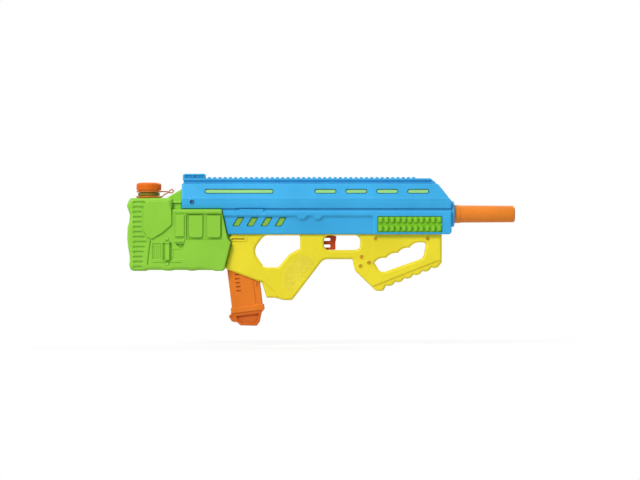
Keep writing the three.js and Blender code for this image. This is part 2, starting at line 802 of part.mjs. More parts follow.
// Green strips behind the slots, with a raised tongue in each slot
const upperStripInner = wall + fit + stripThickness;
mirrorSides.forEach(([word, side]) => {
  const rear = longSlotX - longSlotLength / 2 - stripMargin;
  const front = shortSlotFirstX + (shortSlotCount - 1) * shortSlotPitch + shortSlotLength / 2 + stripMargin;
  const half = upperSlotHeight / 2 + stripMargin;
  const turn = slopeTurn(side);
  const [y0, y1] = between(side, -upperStripInner, -wall - fit);
  const [t0, t1] = between(side, -wall - fit - 0.5, -slotSink);
  const back = plate(outline([[rear, -half], [front, -half], [front, half], [rear, half]]), y0, y1, { turn });
  const tongues = slotRow.map((slot) => plate(slotOutline(slot, -fit), t0, t1, { turn }));
  add(`upper_strip_${word}`, join(back, ...tongues), green);
});
mirrorSides.forEach(([word, side]) => {
  const rear = leanSlotFirstX - stripMargin;
  const front = leanSlotFirstX + leanSlotPitch * (leanSlotCount - 1) + leanSlotWidth + leanSlotLean + stripMargin;
  const low = receiverBottomZ + leanSlotRise - 2;
  const high = receiverBottomZ + leanSlotRise + leanSlotHeight + 2;
  const [y0, y1] = between(side, panelInner - fit - stripThickness, panelInner - fit);
  const [t0, t1] = between(side, panelInner - fit - 0.5, panelHalf - slotSink);
  const back = plate(outline([[rear, low], [front, low], [front, high], [rear, high]]), y0, y1);
  const tongues = Array.from({ length: leanSlotCount }, (_, k) => plate(leanSlot(k, -fit), t0, t1));
  add(`lower_strip_${word}`, join(back, ...tongues), green);
});

// Ribbed side pads, pressed into pockets in the front block
mirrorSides.forEach(([word, side]) => {
  const pitch = padLength / padRibCount;
  const ribLength = pitch * padRibShare;
  const rowHeight = (padHeight - padRowGap) / 2;
  const [y0, y1] = between(side, padFaceY + fit, bandHalf - 0.6);
  const [r0, r1] = between(side, bandHalf - 1, bandHalf + padRibHeight);
  const ribs = [];
  for (let k = 0; k < padRibCount; k += 1) {
    const x = padRearX + pitch * (k + 0.5) - ribLength / 2;
    [padBottomZ, padBottomZ + padHeight - rowHeight].forEach((z) => {
      ribs.push(box(x, x + ribLength, r0, r1, z + 0.6, z + rowHeight - 0.6));
    });
  }
  const base = box(padRearX, padRearX + padLength, y0, y1, padBottomZ, padBottomZ + padHeight);
  add(`side_pad_${word}`, join(base, ...ribs), green);
});

// Top rail with its teeth, and the rear sight that stands on it
const railRearX = receiverRearX + railRearGap;
const railFrontX = receiverFrontX - slantRun - railFrontGap;
const toothStartX = railRearX + sightLength + railToothPitch * 0.4;
const toothCountTop = Math.floor((railFrontX - railPlain - toothStartX - railToothLength) / railToothPitch);
const railSide = [
  [railRearX, railBaseZ],
  [railFrontX - railNose, railBaseZ],
  [railFrontX - railNose, shoulderZ + fit],
  [railFrontX, shoulderZ + fit],
  [railFrontX - railSlope, railTopZ],
];
for (let k = toothCountTop; k >= 0; k -= 1) {
  const x = toothStartX + k * railToothPitch;
  railSide.push([x + railToothLength, railTopZ]);
  railSide.push([x + railToothLength, railTopZ + railToothHeight]);
  railSide.push([x, railTopZ + railToothHeight]);
  railSide.push([x, railTopZ]);
}
railSide.push([railRearX, railTopZ]);
const railBar = plate(outline(railSide), -railHalf, railHalf);
const railNeck = box(
  railRearX + 1,
  railFrontX - railNose + 0.5,
  -railNeckHalf,
  railNeckHalf,
  shoulderZ + fit,
  railBaseZ + 0.5,
);
add("top_rail", join(railBar, railNeck), blue);
const sightSide = [
  [railRearX, railTopZ + fit, 0],
  [railRearX + sightLength, railTopZ + fit, 0],
  [railRearX + sightLength, railTopZ + sightHeight, 2],
  [railRearX, railTopZ + sightHeight, 2.5],
];
const sightNotchBox = box(-far, far, -sightNotch / 2, sightNotch / 2, railTopZ + sightHeight - 3.5, far);
add("rear_sight", cut(plate(outline(sightSide), -sightHalf, sightHalf), sightNotchBox), blue);

// Barrel with its root ring and hidden flange, the collar round it, and the nozzle
const barrelTailX = receiverFrontX - wall - barrelTail;
const flangeX = receiverFrontX - wall - fit - barrelFlangeThickness;
const barrelProfile = [
  [barrelBore, barrelTailX],
  [barrelRadius, barrelTailX],
  [barrelRadius, flangeX],
  [barrelFlange, flangeX],
  [barrelFlange, flangeX + barrelFlangeThickness],
  [barrelRadius, flangeX + barrelFlangeThickness],
  [barrelRadius, collarFrontX + fit],
  [barrelRootRadius, collarFrontX + fit],
  [barrelRootRadius, collarFrontX + barrelRootLength],
  [barrelRadius, collarFrontX + barrelRootLength + 1],
  [barrelRadius - barrelDraft, barrelTipX - barrelTipRound],
  [barrelRadius - barrelDraft - barrelTipRound * 0.3, barrelTipX - barrelTipRound * 0.3],
  [barrelBore + 0.6, barrelTipX],
  [barrelBore, barrelTipX - 0.8],
  [barrelBore, barrelTailX],
];
add("barrel", turned(barrelProfile, "x", 0, 0, barrelZ, 24), orange);
const collarSide = [
  [barrelRadius + fit, receiverFrontX + fit],
  [collarRadius, receiverFrontX + fit],
  [collarRadius, collarFrontX - 1.2],
  [collarRadius - 1.2, collarFrontX],
  [barrelRadius + fit, collarFrontX],
  [barrelRadius + fit, receiverFrontX + fit],
];
add("barrel_collar", turned(collarSide, "x", 0, 0, barrelZ, 24), blue);
const nozzleRearX = nozzleFaceX - nozzleThickness;
const nozzleProfile = [
  [nozzleOrifice, nozzleFaceX - 3],
  [nozzleOrifice * 2.5, nozzleFaceX],
  [barrelBore - fit, nozzleFaceX],
  [barrelBore - fit, nozzleRearX],
  [barbRadius, nozzleRearX],
  [barbRadius, nozzleRearX - barbLength],
  [nozzleOrifice, nozzleRearX - barbLength],
  [nozzleOrifice, nozzleFaceX - 3],
];
add("nozzle", turned(nozzleProfile, "x", 0, 0, barrelZ, 16), orange);

// Grip frame: two half casings with the thumb opening, the trigger opening and the foregrip
const ridgeZ = receiverBottomZ - ridgeDrop;
const notchZ = receiverBottomZ - notchDrop;
const wellRearZ = receiverBottomZ - wellRearDrop;
const wellFrontZ = receiverBottomZ - wellFrontDrop;
const guardBottomZ = openingBottomZ - guardThickness;
const toothFrom = [toothFromX, toothFromZ];
const toothTo = [toothToX, toothToZ];
const frameCorners = (toothed) => [
  [frameRearX, tongueTopZ, 2],
  [ridgeX + 3, receiverBottomZ - 1.5, 1],
  [ridgeX, ridgeZ, 1.5],
  [notchX, notchZ, 1.5],
  [wellRearX, wellRearZ, 3],
  [wellFrontX, wellFrontZ, 3],
  [heelRearX, heelZ, 2],
  [heelFrontX, heelZ, 5],
  [toeRearX, toeZ, 6],
  [toeFrontX, toeZ, 4],
  [guardRearX, guardBottomZ, 13],
  [guardFrontX, guardBottomZ, 1.5],
  [bracketX, guardBottomZ - bracketDrop, 8],
  [footRearX, footZ, 5],
  [footFrontX, footZ, 3],
  [...toothFrom, 0],
  ...(toothed ? arcs(toothFrom, toothTo, toothCount, -toothDip, gripBow) : []),
  [...toothTo, 0],
  [frameFrontX, frameNoseZ, 5],
  [frameFrontX, tongueTopZ, 2],
];
const thumbOpening = [
  [thumbTopX, openingTopZ, 12],
  [thumbRearX, thumbRearZ, 16],
  [thumbFootX, thumbFootZ, 8],
  [thumbToeX, thumbFootZ, 6],
  [thumbWebX, thumbWebZ, 9],
  [thumbFrontX, thumbFrontZ, 3],
  [thumbFrontX, openingTopZ, 2],
];
const triggerOpening = [
  [openingRearX, openingTopZ, openingRound],
  [openingRearX, openingBottomZ, openingRound],
  [openingFrontX, openingBottomZ, openingRound],
  [openingFrontX, openingTopZ, openingRound],
];
const fingerFrom = [fingerFromX, openingTopZ - fingerFromDrop];
const fingerTo = [fingerToX, openingTopZ - fingerToDrop];
const foregripOpening = [
  [foregripRearX, foregripRearZ, 10],
  [foregripLowX, foregripLowZ, 10],
  [foregripFrontX, openingTopZ - foregripFrontDrop, 8],
  [...fingerFrom, 0],
  ...arcs(fingerFrom, fingerTo, fingerCount, -fingerDip, gripBow),
  [...fingerTo, 0],
];
const foregripBase = [
  [foregripRearX, foregripRearZ, 10],
  [foregripLowX, foregripLowZ, 10],
  [foregripFrontX, openingTopZ - foregripFrontDrop + 2, 6],
  [fingerFrom[0], fingerFrom[1], 2],
  [fingerTo[0], fingerTo[1], 4],
];

// The magazine leans: its own plane is turned about a point in the middle of the well's mouth
const magazineZ = THREE.MathUtils.mapLinear(magazineX, wellRearX, wellFrontX, wellRearZ, wellFrontZ);
const magazineTurn = new THREE.Matrix4().makeRotationY(-magazineTilt).setPosition(magazineX, 0, magazineZ);
const mouthSlope = Math.tan(Math.atan2(wellFrontZ - wellRearZ, wellFrontX - wellRearX) - magazineTilt);
const mouthAt = (u) => mouthSlope * u + magazineEntry;
const magazineCorners = [
  [-magazineHalfLength, -magazineDepth - 2],
  [magazineHalfLength, -magazineDepth - 2],
  [magazineHalfLength, mouthAt(magazineHalfLength), 1.5],
  [magazineNeck, mouthAt(magazineNeck)],
  [magazineNeck, magazineNeckRise, 3],
  [-magazineNeck, magazineNeckRise, 3],
  [-magazineNeck, mouthAt(-magazineNeck)],
  [-magazineHalfLength, mouthAt(-magazineHalfLength), 1.5],
];
const wellMouth = [
  [-magazineHalfLength - run, -magazineDepth],
  [magazineHalfLength + run, -magazineDepth],
  [magazineHalfLength + run, mouthAt(magazineHalfLength) + frameWall],
  [-magazineHalfLength - run, mouthAt(-magazineHalfLength) + frameWall],
];

const triggerTopZ = openingTopZ - run;
const triggerBottomZ = openingBottomZ + run;
const triggerBackX = triggerFrontX - triggerThickness;
const prongRows = [
  [triggerTopZ - prongHeight, triggerTopZ],
  [(triggerTopZ + triggerBottomZ - middleProngHeight) / 2, (triggerTopZ + triggerBottomZ + middleProngHeight) / 2],
  [triggerBottomZ, triggerBottomZ + prongHeight],
];
const lugFrontX = openingRearX - frameWall - run;
const armRearX = triggerFrontX - 2.5 - armLength;

function frame() {
  const contours = [frameCorners(true), thumbOpening, triggerOpening, foregripOpening];
  const outer = softPlate(contours, -frameHalf, frameHalf, frameRound);
  const inner = plate(outline(inset(frameCorners(false), frameWall)), frameWall - frameHalf, frameHalf - frameWall, {
    holes: [
      outline(inset(thumbOpening, -frameWall)),
      outline(inset(triggerOpening, -frameWall)),
      outline(inset(foregripBase, -frameWall - fingerDip)),
    ],
  });
  const bosses = frameScrews.map((row) => boss(row, frameHalf - frameWall / 2));
  const whole = join(cut(outer, inner), ...bosses);
  const prongWays = prongRows.map(([low, high]) =>
    box(openingRearX - frameWall - 1, openingRearX + openingRound, -prongHalf - run, prongHalf + run, low - run, high + run),
  );
  const barWay = box(
    openingRearX,
    openingRearX + openingRound,
    -triggerHalf - run,
    triggerHalf + run,
    openingBottomZ,
    openingTopZ,
  );
  const armWay = box(
    armRearX - triggerStroke - run,
    armRearX + armLength + run,
    -armHalf - run,
    armHalf + run,
    openingTopZ - 1,
    tongueTopZ + 1,
  );
  const bossWays = receiverScrews
    .filter(([, , z]) => z === lowerBossZ)
    .map(([, x, z]) => rod(bossRadius + fit, "y", -far, far, [x, 0, z], { sides: 8 }));
  const mouth = plate(outline(wellMouth), -magazineHalf - run, magazineHalf + run, { turn: magazineTurn });
  return cut(whole, ...prongWays, barWay, armWay, ...bossWays, mouth);
}

const frameWhole = frame();
const frameHoles = frameScrews.map((row) => screwHole(row, frameScrewLength));
add("frame_right", cut(frameWhole.intersect(rightHalf), ...frameHoles), yellow);
add("frame_left", cut(frameWhole.intersect(leftHalf), ...frameHoles), yellow);
frameScrews.forEach((row) => add(row[0], screw(row, frameScrewLength), steel));

// Trigger: a finger bar on three prongs that slide in the frame, with an arm up to the plunger
const triggerBar = plate(
  outline([
    [triggerBackX, triggerBottomZ, 1.5],
    [triggerFrontX, triggerBottomZ, 1.5],
    [triggerFrontX - 1.2, (triggerBottomZ + triggerTopZ) / 2, 8],
    [triggerFrontX, triggerTopZ, 1],
    [triggerBackX, triggerTopZ, 1],
  ]),
  -triggerHalf,
  triggerHalf,
);
const prongs = prongRows.map(([low, high]) =>
  box(lugFrontX - lugLength, triggerBackX + 1, -prongHalf, prongHalf, low, high),
);
const [middleLow, middleHigh] = prongRows[1];
const lug = box(lugFrontX - lugLength, lugFrontX, -lugHalf, lugHalf, middleLow, middleHigh);
const arm = box(armRearX, armRearX + armLength, -armHalf, armHalf, triggerTopZ - 2, pumpZ + armTop);
const spigotWay = rod(rodSpigot + fit, "x", armRearX - 1, armRearX + armLength + 1, [0, 0, pumpZ], { sides: 12 });
add("trigger", cut(join(triggerBar, ...prongs, lug, arm), spigotWay), triggerRed);

// Pump: cylinder, gland, plunger with its seal, and the return spring
const glandRearX = pumpFrontX - glandLength;
const headFrontX = glandRearX - fit;
const headRearX = headFrontX - headLength;
const cylinderProfile = [
  [portRadius, pumpRearX],
  [pumpOuter, pumpRearX],
  [pumpOuter, pumpFrontX],
  [pumpBore, pumpFrontX],
  [pumpBore, pumpRearX + pumpEnd],
  [portRadius, pumpRearX + pumpEnd],
  [portRadius, pumpRearX],
];
add("pump_cylinder", turned(cylinderProfile, "x", 0, 0, pumpZ), natural);
const gland = rod(pumpBore - fit, "x", glandRearX, pumpFrontX, [0, 0, pumpZ], { bore: rodRadius + run });
add("pump_gland", gland, natural);
const sealMiddleX = headRearX + headLength / 2;
const headRadius = pumpBore - fit;
const plungerProfile = [
  [0, headRearX],
  [headRadius, headRearX],
  [headRadius, sealMiddleX - sealWidth / 2 - fit],
  [headRadius - sealDepth, sealMiddleX - sealWidth / 2 - fit],
  [headRadius - sealDepth, sealMiddleX + sealWidth / 2 + fit],
  [headRadius, sealMiddleX + sealWidth / 2 + fit],
  [headRadius, headFrontX],
  [rodRadius, headFrontX],
  [rodRadius, armRearX - fit],
  [rodSpigot, armRearX - fit],
  [rodSpigot, armRearX + armLength - 1],
  [0, armRearX + armLength - 1],
];
add("plunger", turned(plungerProfile, "x", 0, 0, pumpZ), natural);
const sealRing = rod(pumpBore - 0.2, "x", sealMiddleX - sealWidth / 2, sealMiddleX + sealWidth / 2, [0, 0, pumpZ], {
  bore: headRadius - sealDepth + fit,
});
add("plunger_seal", sealRing, rubber);
const springFromX = pumpRearX + pumpEnd + springWire / 2 + fit;
const springToX = headRearX - springWire / 2 - fit;
const springRadius = pumpBore - springWire / 2 - 1;
const springSides = 7;
const springPath = Array.from({ length: springTurns * springSides + 1 }, (_, k) => {
  const angle = (2 * Math.PI * k) / springSides;
  const x = springFromX + ((springToX - springFromX) * k) / (springTurns * springSides);
  return [x, springRadius * Math.cos(angle), pumpZ + springRadius * Math.sin(angle)];
});
add("return_spring", hose(springPath, springWire / 2, 0, springTurns * springSides, 4), steel);

// Valve block: water comes in low at the rear, past the lower ball to the cylinder, and
// leaves past the upper ball
const blockRearX = blockX - blockLength / 2;
const blockFrontX = blockX + blockLength / 2;
const lowerSeatZ = pumpZ - lowerSeatDrop;
const roofZ = pumpZ + chamberRoof;
const upperSeatZ = pumpZ + upperSeatRise;
const blockTopZ = pumpZ + blockAbove;
const chamberRadius = ballRadius + ballGap;
const onBlock = [blockX, 0, 0];
const small = { sides: 12 };
const valveBlock = cut(
  box(blockRearX, blockFrontX, -blockHalf, blockHalf, pumpZ - blockBelow, blockTopZ),
  rod(barbRadius + fit, "x", blockRearX - 1, blockX + seatRadius, [0, 0, outletZ], small),
  rod(seatRadius, "z", outletZ, lowerSeatZ + 1, onBlock, small),
  rod(chamberRadius, "z", lowerSeatZ, roofZ, onBlock, small),
  rod(seatRadius, "z", roofZ - 1, upperSeatZ + 1, onBlock, small),
  rod(chamberRadius, "z", upperSeatZ, blockTopZ + 1, onBlock, small),
  rod(portRadius, "x", blockX, blockFrontX + 1, [0, 0, pumpZ], small),
);
add("valve_block", valveBlock, natural);
const ballRest = Math.sqrt(ballRadius ** 2 - seatRadius ** 2) + 0.1;
[
  ["inlet_ball", lowerSeatZ],
  ["outlet_ball", upperSeatZ],
].forEach(([name, seatZ]) => {
  const ball = new THREE.SphereGeometry(ballRadius, 12, 8).translate(blockX, 0, seatZ + ballRest);
  add(name, solid(ball), steel);
});
const inletBarb = turned(
  [
    [barbBore, blockRearX - barbLength],
    [barbRadius, blockRearX - barbLength],
    [barbRadius, blockRearX - 3],
    [barbRadius + 2.5, blockRearX - 3],
    [barbRadius + 2.5, blockRearX - fit],
    [barbRadius, blockRearX - fit],
    [barbRadius, blockX - seatRadius - 1],
    [barbBore, blockX - seatRadius - 1],
    [barbBore, blockRearX - barbLength],
  ],
  "x",
  0,
  0,
  outletZ,
  12,
);
add("inlet_barb", inletBarb, natural);
const elbowZ = blockTopZ + 7;
const elbowFrontX = blockX + 6 + barbLength;
const elbow = cut(
  join(
    rod(chamberRadius - fit, "z", blockTopZ - spigotLength, blockTopZ + 2, onBlock, small),
    rod(chamberRadius + 2, "z", blockTopZ + fit, elbowZ + 3, onBlock, small),
    rod(barbRadius, "x", blockX, elbowFrontX, [0, 0, elbowZ], small),
  ),
  rod(barbBore, "z", blockTopZ - spigotLength - 1, elbowZ, onBlock, small),
  rod(barbBore, "x", blockX - 1, elbowFrontX + 1, [0, 0, elbowZ], small),
);
add("outlet_elbow", elbow, natural);

// Hoses: from the tank to the valve block, and from the block to the nozzle
const deliveryFromX = blockX + chamberRadius + 2 + fit;
const deliveryToX = nozzleRearX - fit;
const deliveryPath = [
  [deliveryFromX, 0, elbowZ],
  [deliveryFromX + 26, 0, elbowZ],
  [deliveryFromX + 62, 0, elbowZ - 5],
  [barrelTailX - 70, 0, barrelZ + 4],
  [barrelTailX - 20, 0, barrelZ],
  [deliveryToX - 30, 0, barrelZ],
  [deliveryToX, 0, barrelZ],
];
add("delivery_hose", hose(deliveryPath, hoseRadius, hoseBore, 14), clear);

// Tank: a hollow moulding with a raised panel on each side, a filler neck and a fixing lug
const frontTopX = lowerRearTopX - tankGap;
const tankCorners = [
  [tankRearX, tankTopZ, 9],
  [cheekFrontX, tankTopZ, 3],
  [cheekFrontX, shelfZ, 1],
  [frontTopX, shelfZ, 1],
  [lowerRearBottomX - tankGap, receiverBottomZ, 1],
  [ridgeX - tankGap, ridgeZ, 1],
  [notchX - tankGap * 1.8, notchZ - 1.5, 1.5],
  [wellRearX - tankGap * 1.3, tankBottomZ, 9],
  [tankRearX + 1.5, tankBottomZ, 6],
];
const cheekPanel = [
  [tankRearX + 24, tankTopZ - 5, 4],
  [cheekFrontX - 6, tankTopZ - 5, 8],
  [cheekFrontX - 0.5, tankTopZ - 16, 6],
  [cheekFrontX - 0.5, tankTopZ - 44, 6],
  [tankRearX + 36, tankTopZ - 64.5, 4],
  [tankRearX + 24, tankTopZ - 56, 6],
];
const outletEndX = lowerRearTopX + outletReach + 4;
const neckTopZ = tankTopZ + neckHeight;

function tank() {
  const body = softPlate([tankCorners], -tankHalf, tankHalf, tankRound);
  const relief = mirrorSides.map(([, side]) =>
    plate(outline(cheekPanel), ...between(side, tankHalf - 3, tankHalf + cheekRelief)),
  );
  const ramp = plate(
    outline([
      [rampFootX, tankTopZ - 2],
      [rampFootX + rampRun, tankLugTopZ],
      [receiverRearX + lugReach, tankLugTopZ, 2],
      [receiverRearX + lugReach, tankLugBottomZ, 2],
      [receiverRearX - fit, tankLugBottomZ],
      [receiverRearX - fit, shelfZ - 3],
      [rampFootX, shelfZ - 3],
    ]),
    -tankLugHalf,
    tankLugHalf,
  );
  const neck = rod(neckRadius, "z", tankTopZ - tankWall, neckTopZ, [neckX, 0, 0]);
  const neckCollarZ = tankTopZ + neckRingHeight + 2 * fit;
  const neckCollar = rod(neckCollarRadius, "z", neckCollarZ, neckCollarZ + neckCollarHeight, [neckX, 0, 0]);
  const outlet = rod(outletBoss, "x", frontTopX - tankWall, outletEndX, [0, 0, outletZ]);
  const cavity = softPlate([inset(tankCorners, tankWall)], tankWall - tankHalf, tankHalf - tankWall, tankInnerRound);
  const outside = join(body, ...relief, ramp, neck, neckCollar, outlet);
  return cut(
    outside,
    cavity,
    rod(neckBore, "z", tankTopZ - 20, neckTopZ + 1, [neckX, 0, 0]),
    rod(barbRadius + fit, "x", frontTopX - 20, outletEndX + 1, [0, 0, outletZ], small),
    ...tankScrews.map((row) => screwHole(row, tankScrewLength)),
  );
}
add("tank", tank(), green);

// Tank outlet: a barbed spout in the tank's boss, its seal, the hose to the pump and the
// pick-up tube that reaches the bottom of the tank
const spoutFlangeX = outletEndX + fit + outletSeal + fit;
const spoutProfile = [
  [barbBore, outletEndX - outletTail],
  [barbRadius, outletEndX - outletTail],
  [barbRadius, spoutFlangeX],
  [outletBoss, spoutFlangeX],
  [outletBoss, spoutFlangeX + outletFlange],
  [barbRadius, spoutFlangeX + outletFlange],
  [barbRadius, spoutFlangeX + outletFlange + barbLength],
  [barbBore, spoutFlangeX + outletFlange + barbLength],
  [barbBore, outletEndX - outletTail],
];
add("tank_spout", turned(spoutProfile, "x", 0, 0, outletZ, 12), natural);
const spoutSeal = rod(outletBoss, "x", outletEndX + fit, outletEndX + fit + outletSeal, [0, 0, outletZ], {
  bore: barbRadius + fit,
  sides: 16,
});
add("spout_seal", spoutSeal, rubber);
const feedPath = [
  [spoutFlangeX + outletFlange + fit, 0, outletZ],
  [(spoutFlangeX + blockRearX) / 2, 0, outletZ],
  [blockRearX - 3 - fit, 0, outletZ],
];
add("feed_hose", hose(feedPath, hoseRadius, hoseBore, 4), clear);
const pickupTopX = outletEndX - outletTail - fit;
const pickupPath = [
  [pickupTopX, 0, outletZ],
  [pickupTopX - 8, 0, outletZ],
  [pickupTopX - 20, 0, outletZ - 8],
  [pickupTopX - 24, 0, outletZ - 24],
  [pickupTopX - 22, 0, (outletZ + tankBottomZ) / 2],
  [pickupTopX - 20, 0, tankBottomZ + tankWall + 4],
];
add("pickup_tube", hose(pickupPath, barbRadius + 1, barbBore, 9, 6), clear);

// Filler cap with its gasket, and the tether that keeps it on the tank
const gasketZ = neckTopZ + fit;
const capCeilingZ = gasketZ + gasketThickness + fit;
const capTopZ = capCeilingZ + capTop;
const skirtZ = capTopZ - capSkirt;
const capBottomZ = skirtZ - capLower;
const capBore = neckRadius + run;
const capProfile = [
  [0, capCeilingZ],
  [capBore, capCeilingZ],
  [capBore, capBottomZ],
  [capLowerRadius - 0.5, capBottomZ],
  [capLowerRadius - 0.5, skirtZ],
  [capRadius, skirtZ],
  [capRadius, capTopZ - 3.4],
  [capRadius - 1.2, capTopZ - 1],
  [capRadius - 3.4, capTopZ],
  [0, capTopZ],
];
add("filler_cap", turned(capProfile, "z", neckX, 0, 0, 24), capOrange);
const gasket = rod(neckRadius, "z", gasketZ, gasketZ + gasketThickness, [neckX, 0, 0], { bore: neckBore });
add("cap_gasket", gasket, rubber);
const ringZ = capBottomZ + (capLower - ringThickness) / 2;
const capRing = rod(capLowerRadius + ringWidth, "z", ringZ, ringZ + ringThickness, [neckX, 0, 0], {
  bore: capLowerRadius,
});
add("tether_cap_ring", capRing, capOrange);
const neckRing = rod(neckRingRadius, "z", tankTopZ + fit, tankTopZ + fit + neckRingHeight, [neckX, 0, 0], {
  bore: neckRadius + fit,
});
add("tether_neck_ring", neckRing, capOrange);
const strapFrom = [neckX + capLowerRadius + ringWidth + fit, ringZ + ringThickness / 2];
const strapTo = [neckX + neckRingRadius + fit, tankTopZ + fit + neckRingHeight / 2];
const strapPath = [
  [strapFrom[0], 1.4, strapFrom[1]],
  [strapFrom[0] + 5, 1.4, strapFrom[1]],
  [strapFrom[0] + 10.5, 1.3, strapFrom[1] - 0.6],
  [strapFrom[0] + 14.2, 1, strapFrom[1] - 2.2],
  [strapFrom[0] + 17.4, 0.4, strapFrom[1] - 1.4],
  [strapFrom[0] + 18.2, 0, strapFrom[1] + 1.4],
  [strapFrom[0] + 15.8, -0.5, strapFrom[1] + 3.2],
  [strapFrom[0] + 12.9, -1, strapFrom[1] + 1.4],
  [strapFrom[0] + 10.5, -1.4, strapFrom[1] - 1.8],
  [strapFrom[0] + 5, -1.4, strapFrom[1] - 4.6],
  [strapTo[0], -1.4, strapTo[1]],
];
add("tether_strap", hose(strapPath, strapRadius, 0, 26, 5), capOrange);

// Magazine: two half casings and a base with a band and a foot, all in a leaning group
const magazine = new THREE.Group();
magazine.rotation.y = -magazineTilt;
magazine.position.set(magazineX, 0, magazineZ);
squirter.add(magazine);
const magazineWhole = cut(
  softPlate([magazineCorners], -magazineHalf, magazineHalf, 1.5),
  plate(outline(inset(magazineCorners, magazineWall)), magazineWall - magazineHalf, magazineHalf - magazineWall),
);
add("magazine_right", magazineWhole.intersect(rightHalf), orange, magazine);
add("magazine_left", magazineWhole.intersect(leftHalf), orange, magazine);
const bandHalfLength = magazineHalfLength + collarOver;
const bandTop = -magazineDepth + 1;
const bandBottom = bandTop - collarBand;
const baseCorners = [
  [bandHalfLength, bandTop - 1, 1.5],
  [bandHalfLength, bandBottom + 1.5, 2],
  [magazineHalfLength - 3.2, bandBottom - 3.4, 2],
  [magazineHalfLength - 7.8, bandBottom - footDepth + 5.8, 3],
  [magazineHalfLength - 13, bandBottom - footDepth, 2],
  [-magazineHalfLength + 10, bandBottom - footDepth + 3.6, 3],
  [-magazineHalfLength + 5.3, bandBottom - footDepth + 9, 2],
  [-magazineHalfLength - 2.6, bandBottom - 11.8, 3],
  [-magazineHalfLength - 6.8, bandBottom - 3, 2],
  [-bandHalfLength - 0.4, bandBottom + 0.5, 1],
  [-bandHalfLength, bandTop - 1, 1.5],
];
const base = cut(
  join(
    softPlate([baseCorners], -magazineHalf, magazineHalf, 1.5),
    box(-bandHalfLength, bandHalfLength, -magazineHalf - 1.5, magazineHalf + 1.5, bandBottom + 1.5, bandTop),
  ),
  box(
    -magazineHalfLength - fit,
    magazineHalfLength + fit,
    -magazineHalf - fit,
    magazineHalf + fit,
    -magazineDepth - 2 - fit,
    far,
  ),
);
add("magazine_base", base, orange, magazine);

export default squirter;
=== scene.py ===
import math

import bmesh
import bpy
import numpy as np
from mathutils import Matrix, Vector, geometry, kdtree


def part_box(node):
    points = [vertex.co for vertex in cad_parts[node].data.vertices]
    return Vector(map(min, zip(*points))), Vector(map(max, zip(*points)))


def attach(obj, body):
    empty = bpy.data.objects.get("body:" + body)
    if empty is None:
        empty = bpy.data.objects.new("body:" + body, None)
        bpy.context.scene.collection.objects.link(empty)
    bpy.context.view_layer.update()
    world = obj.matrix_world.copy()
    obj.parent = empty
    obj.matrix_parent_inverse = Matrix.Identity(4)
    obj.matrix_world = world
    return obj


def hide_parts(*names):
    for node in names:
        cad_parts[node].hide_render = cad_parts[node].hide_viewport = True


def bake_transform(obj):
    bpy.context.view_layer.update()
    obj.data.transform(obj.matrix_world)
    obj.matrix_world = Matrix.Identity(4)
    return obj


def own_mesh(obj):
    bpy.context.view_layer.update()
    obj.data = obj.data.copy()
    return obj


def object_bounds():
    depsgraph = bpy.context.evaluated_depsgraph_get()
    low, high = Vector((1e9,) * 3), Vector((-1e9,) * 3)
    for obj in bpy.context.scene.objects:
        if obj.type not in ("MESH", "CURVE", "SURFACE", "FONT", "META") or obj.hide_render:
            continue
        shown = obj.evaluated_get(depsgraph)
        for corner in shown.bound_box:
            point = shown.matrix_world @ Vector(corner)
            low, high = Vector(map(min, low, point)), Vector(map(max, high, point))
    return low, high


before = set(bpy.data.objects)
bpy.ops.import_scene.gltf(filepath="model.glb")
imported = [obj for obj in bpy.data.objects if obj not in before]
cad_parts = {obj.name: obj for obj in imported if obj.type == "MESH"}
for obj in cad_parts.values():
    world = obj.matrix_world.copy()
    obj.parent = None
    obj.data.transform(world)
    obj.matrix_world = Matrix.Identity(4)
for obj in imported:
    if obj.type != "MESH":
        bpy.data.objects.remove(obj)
cad_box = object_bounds()


# ---- Studio -------------------------------------------------------------------------------------
# The toy hangs over a pale floor, high enough for its magazine to slide out, seen square from its
# right side by a long lens, with soft lamps above it and on both sides.

scene = bpy.context.scene
scene.view_settings.view_transform = "Standard"
picture_width, camera_distance = 0.992, 6.0  # metres across the picture at the toy, and to the toy
film_width = 36.0
camera_data = bpy.data.cameras.new("side_camera")
camera_data.sensor_width = film_width
camera_data.lens = film_width * camera_distance / picture_width
camera_data.clip_end = 60.0
camera = bpy.data.objects.new("side_camera", camera_data)
camera.location = (0.0248, -camera_distance, 0.031)
camera.rotation_euler = (math.radians(90), 0, 0)
scene.collection.objects.link(camera)
scene.camera = camera


def set_sockets(tree, target, sockets):
    """Gives a node's sockets their values, or links from other nodes' outputs."""
    for key, value in sockets.items():
        if isinstance(value, bpy.types.NodeSocket):
            tree.links.new(value, target.inputs[key])
        else:
            target.inputs[key].default_value = value


def node(tree, kind, sockets, **settings):
    """New node in a tree, with its settings and sockets."""
    new = tree.nodes.new(kind)
    for word, value in settings.items():
        setattr(new, word, value)
    set_sockets(tree, new, sockets)
    return new


def empty_tree(holder):
    """Shader tree of a world or material, with nothing in it yet."""
    holder.use_nodes = True
    holder.node_tree.nodes.clear()
    return holder.node_tree


